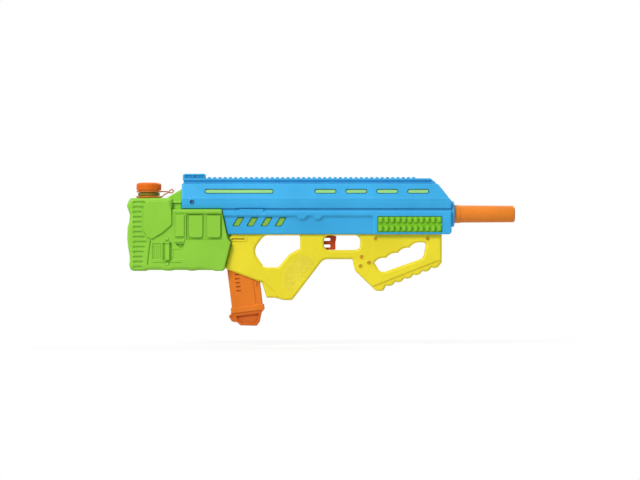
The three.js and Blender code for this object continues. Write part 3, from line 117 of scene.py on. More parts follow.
scene.world = bpy.data.worlds.new("studio_air")
air = empty_tree(scene.world)
ray = node(air, "ShaderNodeLightPath", {}).outputs
seen = node(air, "ShaderNodeMath", {0: ray["Is Camera Ray"], 1: ray["Is Glossy Ray"]}, operation="MAXIMUM")
seen = node(air, "ShaderNodeMath", {0: seen.outputs[0], 1: ray["Is Transmission Ray"]}, operation="MAXIMUM")
soft_air = node(air, "ShaderNodeBackground", {"Color": (0.95, 0.98, 1.0, 1), "Strength": 0.34})
white_air = node(air, "ShaderNodeBackground", {"Color": (1, 1, 1, 1), "Strength": 1.0})
both_airs = {0: seen.outputs[0], 1: soft_air.outputs[0], 2: white_air.outputs[0]}
air_mix = node(air, "ShaderNodeMixShader", both_airs)
node(air, "ShaderNodeOutputWorld", {"Surface": air_mix.outputs[0]})

floor_finish = bpy.data.materials.new("studio_floor")
ground = empty_tree(floor_finish)
to_toy, to_camera = (0.62, 0.62, 0.62, 1), (0.85, 0.85, 0.85, 1)  # the floor's grey for each of them
looked_at = node(ground, "ShaderNodeLightPath", {}).outputs["Is Camera Ray"]
grey = node(ground, "ShaderNodeMix", {0: looked_at, 6: to_toy, 7: to_camera}, data_type="RGBA")
floor_paint = node(ground, "ShaderNodeBsdfDiffuse", {"Color": grey.outputs[2]})
floor_glow = node(ground, "ShaderNodeEmission", {"Strength": 1.0})
floor_place = node(ground, "ShaderNodeTexCoord", {}).outputs["Object"]
far = node(ground, "ShaderNodeVectorMath", {0: floor_place}, operation="LENGTH").outputs["Value"]
fade = {0: far, 1: 0.25, 2: 0.9, 3: 0.80, 4: 1.0}  # shadow near the toy, plain white further away
white = node(ground, "ShaderNodeMapRange", fade, interpolation_type="SMOOTHSTEP").outputs["Result"]
share = node(ground, "ShaderNodeMath", {0: looked_at, 1: white}, operation="MULTIPLY").outputs[0]
both_floors = {0: share, 1: floor_paint.outputs[0], 2: floor_glow.outputs[0]}
floor_mix = node(ground, "ShaderNodeMixShader", both_floors)
node(ground, "ShaderNodeOutputMaterial", {"Surface": floor_mix.outputs[0]})
floor_reach, floor_z = 9.0, cad_box[0][2] - 0.03
floor_corners = ((-1, -1), (1, -1), (1, 1), (-1, 1))
floor_mesh = bpy.data.meshes.new("floor")
floor_mesh.from_pydata(
    [(x * floor_reach, y * floor_reach, floor_z) for x, y in floor_corners], [], [(0, 1, 2, 3)]
)
floor_mesh.materials.append(floor_finish)
floor = bpy.data.objects.new("floor", floor_mesh)
scene.collection.objects.link(floor)
toy_middle = Vector((0.02, 0, 0.04))


def lamp(name, place, width, height, power):
    """Soft rectangular lamp that faces the middle of the toy and isn't seen itself."""
    data = bpy.data.lights.new(name, "AREA")
    data.shape = "RECTANGLE"
    data.size, data.size_y, data.energy = width, height, power
    obj = bpy.data.objects.new(name, data)
    obj.location = place
    obj.rotation_euler = (toy_middle - Vector(place)).to_track_quat("-Z", "Y").to_euler()
    obj.visible_camera = False
    scene.collection.objects.link(obj)


lamp("roof_lamp", (0.0, -0.2, 2.6), 2.4, 1.6, 12)
lamp("right_lamp", (-1.8, -2.6, 2.4), 1.3, 1.3, 109)
lamp("left_lamp", (1.8, 2.6, 2.4), 1.3, 1.3, 86)


# ---- Pump, valves and hoses ---------------------------------------------------------------------
# Inside the casing: a piston pump of milky plastic with steel balls and spring, rubber seals and
# clear soft hoses pushed on barbs. They stay as the frame's own solids and get their finishes, but
# the coil is made anew, at its rest length; the real coil shortens when the trigger is pulled.


def paint(code):
    """Colour of a hex code, as light values."""
    values = [int(code[k : k + 2], 16) / 255 for k in (1, 3, 5)]
    return [v / 12.92 if v <= 0.04045 else ((v + 0.055) / 1.055) ** 2.4 for v in values] + [1.0]


def plastic(
    name, colour, shade, pale, rough=(0.27, 0.42), grain=0.10, peel=0.10, seed=1.0, metal=0.0, clear=0.0
):
    """Moulded plastic: slightly clouded colour, painted shade in creases, edges paler from wear and a
    painted highlight and duller from wear, a fine grain and a slight orange peel. Metal and clear tube are
    made from it too."""
    mat = bpy.data.materials.new(name)
    mat.use_nodes = True
    tree = mat.node_tree
    place = node(tree, "ShaderNodeTexCoord", {}).outputs["Object"]

    def noise(scale, detail, shift):
        sockets = {"Vector": place, "Scale": scale, "Detail": detail, "W": seed + shift}
        return node(tree, "ShaderNodeTexNoise", sockets, noise_dimensions="4D").outputs["Fac"]

    def spread(value, low, high, to_low, to_high):
        sockets = {0: value, 1: low, 2: high, 3: to_low, 4: to_high}
        return node(tree, "ShaderNodeMapRange", sockets).outputs["Result"]

    def both(a, b, operation):
        return node(tree, "ShaderNodeMath", {0: a, 1: b}, operation=operation).outputs[0]

    def blended(amount, a, b):
        return node(tree, "ShaderNodeMix", {0: amount, 6: a, 7: b}, data_type="RGBA").outputs[2]

    def bump(strength, distance, height, **normal):
        sockets = {"Strength": strength, "Distance": distance, "Height": height, **normal}
        return node(tree, "ShaderNodeBump", sockets).outputs["Normal"]

    base = paint(colour)
    dim = [0.93 * v for v in base[:3]] + [1.0]
    lift = [min(1.0, 1.05 * v + 0.004) for v in base[:3]] + [1.0]
    clouded = blended(spread(noise(16, 3, 0.0), 0.3, 0.7, 0.0, 1.0), dim, lift)
    # Painted shade: ambient occlusion darkens the colour towards the shade colour in creases.
    crease = node(tree, "ShaderNodeAmbientOcclusion", {"Distance": 0.006}, samples=8, only_local=True)
    crease_shaded = blended(spread(crease.outputs["AO"], 0.30, 0.94, 1.0, 0.0), clouded, paint(shade))
    # Pointiness makes the edges paler, partly as wear and partly as a painted highlight; the wear also makes
    # them rougher.
    bent = node(tree, "ShaderNodeNewGeometry", {}).outputs["Pointiness"]
    patchy = spread(noise(140, 4, 3.0), 0.35, 0.75, 0.10, 0.55)
    wear_and_highlight = both(spread(bent, 0.53, 0.62, 0.0, 1.0), patchy, "MULTIPLY")
    dull = spread(noise(60, 4, 5.0), 0.25, 0.75, *rough)
    skin = {
        "Base Color": blended(wear_and_highlight, crease_shaded, paint(pale)),
        "Roughness": both(dull, spread(wear_and_highlight, 0.0, 1.0, 0.0, 0.12), "ADD"),
        "Normal": bump(grain, 0.0004, noise(1500, 2, 9.0), Normal=bump(peel, 0.002, noise(55, 2, 7.0))),
        "IOR": 1.47,
        "Specular IOR Level": 0.28,
        "Metallic": metal,
        "Transmission Weight": clear,
    }
    set_sockets(tree, tree.nodes["Principled BSDF"], skin)
    return mat


def dress(names, material):
    """Gives the frame's own solids a finish."""
    for name in names:
        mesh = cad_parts[name].data
        mesh.materials.clear()
        mesh.materials.append(material)


milky = plastic("milky_plastic", "#E9E6DA", "#B9B4A2", "#F6F4EC", rough=(0.3, 0.45), seed=11.0)
soft_tube = plastic(
    "soft_tube", "#D9E4E2", "#A4B4B2", "#EEF4F3", rough=(0.18, 0.3), grain=0.03, seed=12.0, clear=0.25
)
rubber = plastic("black_rubber", "#2B2B2D", "#121213", "#4A4A4C", rough=(0.55, 0.75), grain=0.2, seed=13.0)
steel = plastic(
    "bright_steel", "#B9BCC0", "#5B5E63", "#DADDE0",
    rough=(0.22, 0.36), grain=0.05, peel=0.02, seed=14.0, metal=1.0,
)
dress(["pump_cylinder", "pump_gland", "plunger", "valve_block"], milky)
dress(["inlet_barb", "outlet_elbow", "tank_spout"], milky)
dress(["feed_hose", "delivery_hose", "pickup_tube"], soft_tube)
dress(["plunger_seal", "spout_seal", "cap_gasket"], rubber)
dress(["inlet_ball", "outlet_ball"], steel)


def new_tree(name, inputs):
    """Tree of Geometry Nodes with named inputs, each of its kind: the tree and its input sockets."""
    tree = bpy.data.node_groups.new(name, "GeometryNodeTree")
    for word, kind in inputs.items():
        tree.interface.new_socket(name=word, in_out="INPUT", socket_type="NodeSocket" + kind)
    tree.interface.new_socket(name="Geometry", in_out="OUTPUT", socket_type="NodeSocketGeometry")
    return tree, tree.nodes.new("NodeGroupInput").outputs


def end_tree(tree, shape, finish):
    """Ends a tree: copies are made real and given a finish."""
    real = node(tree, "GeometryNodeRealizeInstances", {0: shape})
    done = node(tree, "GeometryNodeSetMaterial", {"Geometry": real.outputs[0], "Material": finish})
    node(tree, "NodeGroupOutput", {0: done.outputs[0]})


def repeated(name, tree, values, points=()):
    """Plain mesh piece made by a tree with the given inputs, on points of (place, turn) if it has any."""
    mesh = bpy.data.meshes.new(name)
    mesh.from_pydata([place for place, _ in points], [], [])
    turns = mesh.attributes.new("turn", "FLOAT_VECTOR", "POINT")
    for k, (_, turn) in enumerate(points):
        turns.data[k].vector = turn
    obj = bpy.data.objects.new(name, mesh)
    scene.collection.objects.link(obj)
    modifier = obj.modifiers.new("repeat", "NODES")
    modifier.node_group = tree
    for item in tree.interface.items_tree:
        if item.in_out == "INPUT" and item.name in values:
            modifier[item.identifier] = values[item.name]
    ready = bpy.data.meshes.new_from_object(obj.evaluated_get(bpy.context.evaluated_depsgraph_get()))
    obj.modifiers.clear()
    obj.data = ready
    ready.name = name
    ready.set_sharp_from_angle(angle=math.radians(40))
    return obj


spring_wire, spring_radius, spring_turns, trigger_stroke = 0.0005, 0.0065, 6.0, 0.009
spring_low, spring_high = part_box("return_spring")
pump_low, pump_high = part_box("pump_cylinder")
spring_length, pump_axis = spring_high[0] - spring_low[0], (pump_low[2] + pump_high[2]) / 2
spring_tree, given = new_tree(
    "return_coil",
    {
        "Turns": "Float", "Coil radius": "Float", "Length": "Float", "Wire radius": "Float",
        "Start": "Vector", "Finish": "Material",
    },
)
coil_sockets = {"Resolution": 28, "Rotations": given["Turns"], "Height": given["Length"]}
coil_sockets |= {"Start Radius": given["Coil radius"], "End Radius": given["Coil radius"]}
coil = node(spring_tree, "GeometryNodeCurveSpiral", coil_sockets)
lay = {"Geometry": coil.outputs[0], "Translation": given["Start"], "Rotation": (0, math.radians(90), 0)}
laid = node(spring_tree, "GeometryNodeTransform", lay)
round_wire = {"Resolution": 10, "Radius": given["Wire radius"]}
wire = node(spring_tree, "GeometryNodeCurvePrimitiveCircle", round_wire)
sweep = {"Curve": laid.outputs[0], "Profile Curve": wire.outputs[0], "Fill Caps": True}
end_tree(spring_tree, node(spring_tree, "GeometryNodeCurveToMesh", sweep).outputs[0], given["Finish"])
spring = repeated(
    "return_coil", spring_tree,
    {
        "Turns": spring_turns, "Coil radius": spring_radius, "Length": spring_length - 2 * spring_wire,
        "Wire radius": spring_wire, "Start": (spring_low[0] + spring_wire, 0, pump_axis), "Finish": steel,
    },
)
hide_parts("return_spring")
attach(spring, "casing")
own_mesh(spring)


# ---- Receiver -----------------------------------------------------------------------------------
# The blue upper casing, injection moulded in two halves that meet on the middle plane and are
# screwed together from the left. Sloping shoulder, belt, groove and band run the whole length.

halves = ((-1, "right"), (1, "left"))
seam_half = 0.05
blue_finish = plastic("blue_plastic", "#38ABE3", "#1872AA", "#80CFF5", seed=21.0)


def rounded(corners, turn=12.0):
    """Ring of points round a row of corners, each (x, z, radius)."""
    points = []
    for k, corner in enumerate(corners):
        p = np.array(corner[:2], float)
        radius = corner[2] if len(corner) > 2 else 0.0
        a = np.array(corners[k - 1][:2], float) - p
        b = np.array(corners[(k + 1) % len(corners)][:2], float) - p
        la, lb = np.linalg.norm(a), np.linalg.norm(b)
        a, b = a / la, b / lb
        angle = math.acos(max(-1.0, min(1.0, float(a @ b))))
        if radius <= 0 or angle > math.pi - 0.03:
            points.append(p)
            continue
        reach = min(radius / math.tan(angle / 2), 0.48 * la, 0.48 * lb)
        radius = reach * math.tan(angle / 2)
        middle = (a + b) / np.linalg.norm(a + b)
        centre = p + middle * radius / math.sin(angle / 2)
        first, last = p + a * reach - centre, p + b * reach - centre
        start = math.atan2(first[1], first[0])
        swing = (math.atan2(last[1], last[0]) - start + math.pi) % (2 * math.pi) - math.pi
        count = max(2, math.ceil(abs(math.degrees(swing)) / turn))
        for way in start + swing * np.arange(count + 1) / count:
            points.append(centre + radius * np.array((math.cos(way), math.sin(way))))
    ring = np.array(points)
    after = np.roll(ring, -1, axis=0)
    if (ring[:, 0] * after[:, 1] - after[:, 0] * ring[:, 1]).sum() < 0:
        ring = ring[::-1]
    return ring


def tile(x0, x1, z0, z1, radius=0.0, top=None, turn=12.0):
    """Rectangle with rounded corners; the upper two may have their own radius."""
    top = radius if top is None else top
    return rounded([(x0, z0, radius), (x1, z0, radius), (x1, z1, top), (x0, z1, top)], turn)


def disc(x, z, radius, count=28):
    """Round ring of points."""
    turns = np.arange(count) * 2 * math.pi / count
    return np.stack([x + radius * np.cos(turns), z + radius * np.sin(turns)], 1)


def spaced(line, step, closed=True):
    """The same line with points no further apart than a step."""
    line = np.asarray(line, float)
    ends = np.roll(line, -1, axis=0) if closed else line[1:]
    out = []
    for p, q in zip(line, ends):
        n = max(1, math.ceil(np.linalg.norm(q - p) / step - 1e-6))
        out.extend(p + (q - p) * (t / n) for t in range(n))
    if not closed:
        out.append(line[-1])
    return np.array(out)


def depth(points, ring):
    """How far inside a ring each point lies, negative outside it."""
    a = ring
    ab = np.roll(ring, -1, axis=0) - a
    size = np.maximum((ab**2).sum(1), 1e-12)
    rise = np.where(np.abs(ab[:, 1]) < 1e-12, 1e-12, ab[:, 1])
    out = np.empty(len(points))
    batch = 1200
    for i in range(0, len(points), batch):
        p = points[i : i + batch, None, :]
        ap = p - a
        t = np.clip((ap * ab).sum(2) / size, 0, 1)
        away = np.sqrt(((ap - t[..., None] * ab) ** 2).sum(2)).min(1)
        crossing = (a[:, 1] > p[..., 1]) != (a[:, 1] + ab[:, 1] > p[..., 1])
        beyond = p[..., 0] < a[:, 0] + (p[..., 1] - a[:, 1]) * ab[:, 0] / rise
        inside = (crossing & beyond).sum(1) % 2 == 1
        out[i : i + batch] = np.where(inside, away, -away)
    return out


def unit(rows):
    """Rows of vectors brought to length 1."""
    return rows / np.maximum(np.linalg.norm(rows, axis=1, keepdims=True), 1e-9)


def inward(ring, by):
    """The ring moved inwards, or outwards where the distance is negative."""
    before = unit(ring - np.roll(ring, 1, axis=0))
    after = unit(np.roll(ring, -1, axis=0) - ring)
    along = unit(before + after)
    normal = np.stack([-along[:, 1], along[:, 0]], 1)
    side = np.stack([-after[:, 1], after[:, 0]], 1)
    return ring + normal * by / np.maximum((normal * side).sum(1, keepdims=True), 0.5)


def pressed(flat, height, forms):
    """Height of a face with its forms: each (ring, amount, run) rises or sinks over its run, and with
    a fourth value the face goes to that level there instead."""
    for ring, amount, run, *level in forms:
        part = np.clip(depth(flat, ring) / run, 0, 1)
        part = part * part * (3 - 2 * part)
        height = height + (level[0] - height if level else amount) * part
    return height


def face_net(outline, holes, radius, base, forms=(), creases=(), fill=3.6, step=1.3, depths=(), tight=None):
    """Triangles over an outline with holes, and the height of the moulded face at each point: its base
    is a number or follows a rule, edges are rounded (by less where a tight radius says so), forms rise
    or sink, and creases are kept as edges."""
    rims = [spaced(outline, step)] + [spaced(hole, step) for hole in holes]
    places, ties = [], []

    def rim_depth(points):
        least = depth(points, rims[0])
        for hole in rims[1:]:
            least = np.minimum(least, -depth(points, hole))
        return least

    def strand(points, keep, closed=True):
        number = {}
        for k in np.flatnonzero(keep):
            number[int(k)] = len(places)
            places.append((float(points[k][0]), float(points[k][1])))
        for k in number:
            after = (k + 1) % len(points)
            if after in number and (closed or after > k):
                ties.append((number[k], number[after]))

    rows = [radius * (1 - math.cos(math.radians(a))) for a in (18, 36, 54, 72, 90)] + [radius + 0.5, *depths]
    for k, rim in enumerate(rims):
        strand(rim, np.ones(len(rim), bool))
        for row in rows:
            points = inward(rim, row if k == 0 else -row)
            strand(points, rim_depth(points) > 0.97 * row)
    for ring, _, run, *_ in forms:
        shape = spaced(ring, 1.6)
        for row in (-0.45, 0.0, 0.25 * run, 0.75 * run, run, run + 0.45):
            points = inward(shape, row)
            true = depth(points, shape)
            strand(points, (np.abs(true - row) < 0.04 + 0.04 * abs(row)) & (rim_depth(points) > 0.03))
    for line in creases:
        points = spaced(line, 2.2, closed=False)
        strand(points, rim_depth(points) > 0.03, closed=False)
    taken = kdtree.KDTree(len(places))
    for k, (x, z) in enumerate(places):
        taken.insert((x, z, 0), k)
    taken.balance()
    low, high = rims[0].min(0), rims[0].max(0)
    grid = []
    for r, z in enumerate(np.arange(low[1], high[1], fill * 0.866)):
        for x in np.arange(low[0] + (fill / 2 if r % 2 else 0), high[0], fill):
            if taken.find((x, z, 0))[2] > 0.62 * fill:
                grid.append((float(x), float(z)))
    if grid:
        grid = np.array(grid)
        places.extend(tuple(map(float, p)) for p in grid[rim_depth(grid) > radius + 0.4])
    found, _, triangles, *_ = geometry.delaunay_2d_cdt([Vector(p) for p in places], ties, [], 0, 1e-3)
    flat = np.array([(p.x, p.y) for p in found])
    net = np.array(triangles)
    net = net[rim_depth(flat[net].mean(1)) > 0]
    used, net = np.unique(net, return_inverse=True)
    net = net.reshape(-1, 3)
    flat = flat[used]
    rim = np.maximum(rim_depth(flat), 0.0)
    height = pressed(flat, base(*flat.T) if callable(base) else np.full(len(flat), base), forms)
    soft = radius if tight is None else tight(*flat.T)
    near = np.clip(rim, 0, soft)
    height = height - (soft - np.sqrt(np.maximum(soft**2 - (soft - near) ** 2, 0)))
    return flat, net, rim, height


def between(flat, net, front, back, map_point=None):
    """Closed form of a front and a back over one net: its points and faces."""
    x, z = flat.T if map_point is None else map_point(*flat.T)
    points = np.concatenate([np.stack([x, front, z], 1), np.stack([x, back, z], 1)])
    sides, count = {}, len(flat)
    for a, b, c in net:
        for edge in ((a, b), (b, c), (c, a)):
            key = (min(edge), max(edge))
            sides[key] = None if key in sides else edge
    rim = [edge for edge in sides.values() if edge is not None]
    faces = [tuple(f) for f in net] + [(c + count, b + count, a + count) for a, b, c in net]
    return points, faces + [(b, a, a + count, b + count) for a, b in rim]


def mesh_piece(name, forms, material, crisp=38, clean=False):
    """Mesh piece of closed forms, each (points in millimetres, faces), with doubles merged and faces
    outwards, and thin faces taken out where it is to be clean."""
    points, faces = [], []
    for form_points, form_faces in forms:
        faces += [[int(k) + len(points) for k in face] for face in form_faces]
        points += (np.asarray(form_points, float) * 0.001).tolist()
    mesh = bpy.data.meshes.new(name)
    mesh.from_pydata(points, [], faces)
    shape = bmesh.new()
    shape.from_mesh(mesh)
    bmesh.ops.remove_doubles(shape, verts=shape.verts, dist=2e-6)
    if clean:
        bmesh.ops.dissolve_degenerate(shape, edges=shape.edges, dist=1e-7)
    bmesh.ops.recalc_face_normals(shape, faces=shape.faces)
    shape.to_mesh(mesh)
    shape.free()
    mesh.materials.append(material)
    mesh.shade_smooth()
    mesh.set_sharp_from_angle(angle=math.radians(crisp))
    obj = bpy.data.objects.new(name, mesh)
    scene.collection.objects.link(obj)
    return obj


def half_shell(name, face, side, wall, hollow, skin, material, ways=(), ease=0.3, map_point=None):
    """Half casing: the moulded face outside, a hollow within its walls that leaves at least a skin, and
    ways, each (where, how deep), for what passes its rim."""
    flat, net, rim, height = face
    back = np.where(rim <= wall + 0.02, seam_half + np.clip(ease - rim, 0, ease), hollow)
    for here, reach in ways:
        back = np.where(here, np.maximum(back, reach), back)
    back = np.minimum(back, height - skin)
    return mesh_piece(name, [between(flat, net, side * height, side * back, map_point)], material)


def in_box(flat, x0, x1, z0, z1):
    """Which points lie in a rectangle."""
    return ((flat > (x0, z0)) & (flat < (x1, z1))).all(1)


def box_line(x0, x1, z0, z1):
    """Edge of a rectangle, as a crease."""
    return np.array([(x0, z0), (x1, z0), (x1, z1), (x0, z1), (x0, z0)])


receiver_rear, receiver_front = -189.0, 228.0
receiver_bottom, lip, shoulder = 39.8, 78.8, 118.6
panel_face, band_face, shoulder_face = 21.0, 24.6, 15.0
receiver_wall, receiver_side_wall, receiver_hollow, receiver_skin = 2.2, 3.6, 17.8, 0.6
receiver_outline = rounded(
    [
        (receiver_rear, shoulder, 1.5), (receiver_rear, lip, 1.0), (-126.3, lip, 0.6),
        (-118.3, receiver_bottom, 0.8), (receiver_front, receiver_bottom, 5),
        (receiver_front, shoulder - 27, 4), (receiver_front - 21, shoulder, 6),
    ]
)
face_lines = (77.4, 77.8, 79.4, 79.9, 80.6, 81.4, 86.2, 95.2, 96.9)
face_widths = (panel_face, 20.3, 20.3, 22.0, 22.3, 22.4, 23.6, 23.6, 22.1)
belt_edges = (94.8, 95.6, 96.5, 97.3)


def receiver_face(x, z):
    """Half width of the receiver without its band: panel, groove, ledge, cheek, belt, sloping shoulder."""
    return np.interp(z, (39.0, *face_lines, shoulder), (panel_face, *face_widths, shoulder_face))


band_low, band_high, band_rear, band_end, notch_drop = 65.3, 77.8, -150, 105.6, 5.3
band_corners = [(band_rear, band_high), (band_rear, band_low)]
for notch in (-12.4, 11.8):
    band_corners += [
        (notch, band_low, 1.0), (notch + 4.6, band_low - notch_drop, 1.2),
        (notch + 14.0, band_low - notch_drop, 1.2), (notch + 18.6, band_low, 1.0),
    ]
band_corners += [(band_end, band_low, 2), (band_end, 30), (245, 30), (245, band_high)]
slot_low, slot_high, slot_end, slot_sink, slot_run = 102.4, 110.0, 3.6, -3.4, 0.6
slot_rows = [(-100.2, 53.3)] + [(33.3 + 47.8 * k, 17.0) for k in range(4)]
upper_slots = [tile(x - reach, x + reach, slot_low, slot_high, slot_end) for x, reach in slot_rows]
lean_low, lean_high, lean_width, lean_run, lean_end = 52.0, 66.4, 11.4, 8.8, 1.4
lean_slots = []
for x in [-111.5 + 21.8 * k for k in range(4)]:
    corners = [(x, lean_low), (x + lean_width, lean_low)]
    corners += [(x + lean_width + lean_run, lean_high), (x + lean_run, lean_high)]
    lean_slots.append(rounded([(*corner, lean_end) for corner in corners]))
tank_screw_x, tank_screw_z = -173.1, 89.9
thumb_ledge = rounded([(-109, 71.5), (-107, 76.6, 1), (-98, 79.2, 1), (-62, 79.2, 0.8), (-62, 71.5)])
receiver_forms = [
    (rounded(band_corners), band_face - panel_face, 4.2),
    (thumb_ledge, 0.0, 0.7, band_face),
    (tile(113.4, 213.9, 42.8, 68.0, 1.5), -2.4, 0.5),
    (disc(tank_screw_x, tank_screw_z, 5.0), 0.5, 0.8),
    (disc(tank_screw_x, tank_screw_z, 3.5), -4.2, 0.4),
]
receiver_forms += [(ring, slot_sink, slot_run) for ring in upper_slots + lean_slots]
receiver_ways = [
    (-114.6, 214.2, 38, 42.6, 17.4),
    (-190, -185.5, 81.8, 110.4, 13.5),
    (224.5, 230, 56.8, 85.8, 14.4),
]
receiver_creases = [np.array([(-195, z), (235, z)]) for z in sorted(face_lines + belt_edges)]
receiver_creases += [box_line(*way[:4]) for way in receiver_ways]
left_screws = [(-95, 45.8), (64, 45.8), (-120, 92), (100, 92), (170, 92)]
left_pockets = [(disc(x, z, 3.2), -3.1, 0.4) for x, z in left_screws]
flat, net, rim, height = face_net(
    receiver_outline, [], 2.0, receiver_face,
    receiver_forms + [(ring, 0.0, run) for ring, _, run in left_pockets],
    receiver_creases, depths=(receiver_wall, receiver_wall + 0.5),
)
hollow = np.minimum(receiver_face(*flat.T) - receiver_side_wall, receiver_hollow)
ways = [(in_box(flat, *way[:4]), way[4]) for way in receiver_ways]
for side, word in halves:
    face = (flat, net, rim, pressed(flat, height, left_pockets) if side > 0 else height)
    name = f"receiver_shell_{word}"
    half = half_shell(name, face, side, receiver_wall, hollow, receiver_skin, blue_finish, ways)
    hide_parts(f"receiver_{word}")
    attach(half, "casing")


# ---- Strips -------------------------------------------------------------------------------------
# Green strips snapped in behind the receiver's slots, their faces a little below the blue casing:
# one long and four short bars in the shoulder, four leaning bars in the panel.

# Painted light: the upper bars are a paler green as a painted sheen on the sloping shoulder, and the leaning
# bars a darker olive as painted shade in the panel.
sheen_strip = plastic("sheen_strip_plastic", "#98D582", "#5C9E2E", "#CBF2AE", rough=(0.3, 0.45), seed=31.0)
shaded_strip = plastic("shaded_strip_plastic", "#88BC3C", "#48791A", "#B6DE76", rough=(0.3, 0.45), seed=32.0)
bar_back = 3.3


def bars(name, rings, gap, sink, material, side):
    """Bars in a row of slots, with a gap round them and softened edges."""
    forms = []

    def bar_face(x, z):
        return receiver_face(x, z) - sink

    for ring in rings:
        shape = inward(spaced(ring, 1.4), gap)
        flat, net, _, height = face_net(shape, [], 0.8, bar_face, fill=4.5, step=1.6)
        forms.append(between(flat, net, side * height, side * (receiver_face(*flat.T) - bar_back)))
    return mesh_piece(name, forms, material)


strip_rows = (("upper", upper_slots, 1.1, 1.5, sheen_strip), ("lower", lean_slots, 0.9, 1.8, shaded_strip))
for side, word in halves:
    for place, rings, gap, sink, finish in strip_rows:
        strip = bars(f"{place}_bars_{word}", rings, gap, sink, finish, side)
        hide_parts(f"{place}_strip_{word}")
        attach(strip, "casing")


# ---- Side pads ----------------------------------------------------------------------------------
# Green pads pressed into the front block on both sides, with two rows of eleven domed blocks that
# give the holding hand a grip.

pad_finish = plastic("pad_plastic", "#7CC61C", "#357A0A", "#B6E86E", rough=(0.3, 0.46), seed=41.0)
pad_rear, pad_front, pad_low, pad_high = 113.9, 213.4, 43.4, 67.4
plate_front, plate_back, block_foot = 23.1, 22.15, 22.9
pad_columns, pad_pitch, row_pitch = 11, 9.05, 13.3
block_length, block_height, block_corner, block_rise = 7.9, 10.2, 3.3, 3.4
block_levels = [(0.0, 0.0), (0.3, 0.42), (0.9, 0.70), (1.6, 0.88), (2.4, 0.97), (3.0, 1.0)]


def shape_only(obj):
    """Takes a shape out of the scene, to be repeated."""
    for holder in obj.users_collection:
        holder.objects.unlink(obj)
    return obj


def ring_faces(rows, count, first=True, closed=False):
    """Faces of a stack of rings with filled ends, or with its first end left open, or an endless one."""
    faces = []
    for r in range(rows if closed else rows - 1):
        low, high = r * count, (r + 1) % rows * count
        faces += [(low + k, low + (k + 1) % count, high + (k + 1) % count, high + k) for k in range(count)]
    if first and not closed:
        faces.append(tuple(reversed(range(count))))
    if not closed:
        faces.append(tuple(range((rows - 1) * count, rows * count)))
    return faces


def ring_stack(rows, closed=False):
    """Form of a stack of rings, each (ring, y): its points and faces."""
    points = [(x, y, z) for ring, y in rows for x, z in ring]
    return points, ring_faces(len(rows), len(rows[0][0]), closed=closed)


def put_shapes(tree, points, given, turn=None):
    """Puts the given shape on every point of a tree, which ends with the given finish."""
    shape = node(tree, "GeometryNodeObjectInfo", {"Object": given["Shape"]}).outputs["Geometry"]
    put = node(tree, "GeometryNodeInstanceOnPoints", {"Points": points, "Instance": shape})
    if turn is not None:
        set_sockets(tree, put, {"Rotation": turn})
    end_tree(tree, put.outputs["Instances"], given["Finish"])


pad_tree, given = new_tree(
    "pad_blocks",
    {
        "Shape": "Object", "Finish": "Material", "Columns": "Int", "Rows": "Int",
        "Length": "Float", "Height": "Float", "Middle": "Vector",
    },
)
grid_sockets = {"Size X": given["Length"], "Size Y": given["Height"]}
grid_sockets |= {"Vertices X": given["Columns"], "Vertices Y": given["Rows"]}
pad_grid = node(pad_tree, "GeometryNodeMeshGrid", grid_sockets).outputs["Mesh"]
stand = {"Geometry": pad_grid, "Translation": given["Middle"], "Rotation": (math.radians(90), 0, 0)}
put_shapes(pad_tree, node(pad_tree, "GeometryNodeTransform", stand).outputs[0], given)
half_l, half_h = block_length / 2, block_height / 2
block_ring = tile(-half_l, half_l, -half_h, half_h, block_corner, turn=22)
pad_ring = tile(pad_rear, pad_front, pad_low, pad_high, 1.6)
pad_middle = np.array(((pad_rear + pad_front) / 2, block_foot, (pad_low + pad_high) / 2)) * 0.001
flat, net, rim, height = face_net(pad_ring, [], 0.7, plate_front, fill=5)
for side, word in halves:
    block_rows = [(inward(block_ring, inset), side * rise * block_rise) for inset, rise in block_levels]
    block = shape_only(mesh_piece(f"pad_block_{word}", [ring_stack(block_rows)], pad_finish))
    blocks = repeated(
        f"pad_blocks_{word}", pad_tree,
        {
            "Shape": block, "Finish": pad_finish, "Columns": pad_columns, "Rows": 2,
            "Length": pad_pitch * (pad_columns - 1) * 0.001, "Height": row_pitch * 0.001,
            "Middle": (pad_middle * (1, side, 1)).tolist(),
        },
    )
    form = between(flat, net, side * height, np.full(len(flat), side * plate_back))
    plate = mesh_piece(f"pad_plate_{word}", [form], pad_finish)
    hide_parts(f"side_pad_{word}")
    for piece in (plate, blocks):
        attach(piece, "casing")
    bpy.data.objects.remove(block)


# ---- Top rail and rear sight --------------------------------------------------------------------
# Blue rail on the casing's top: a neck, a wider base and a row of cross teeth, moulded plain at the
# front where it slopes down with the nose. The sight block snaps on at its rear end.

rail_rear, rail_front, rail_top = -187.5, 205.5, 126.6
rail_foot, rail_base, rail_half, rail_neck_half = shoulder + 0.3, 123.2, 10.5, 7.5
tooth_pitch, tooth_length, tooth_rise, tooth_first, tooth_count = 8.11, 4.7, 2.0, -148.76, 40


def plate_piece(
    name, ring, half, radius, material, holes=(), map_point=None, fill=4.0, step=1.5, **net_values
):
    """Closed plate with the same moulded face on both sides."""
    flat, net, _, height = face_net(ring, list(holes), radius, half, fill=fill, step=step, **net_values)
    return mesh_piece(name, [between(flat, net, -height, height, map_point)], material)


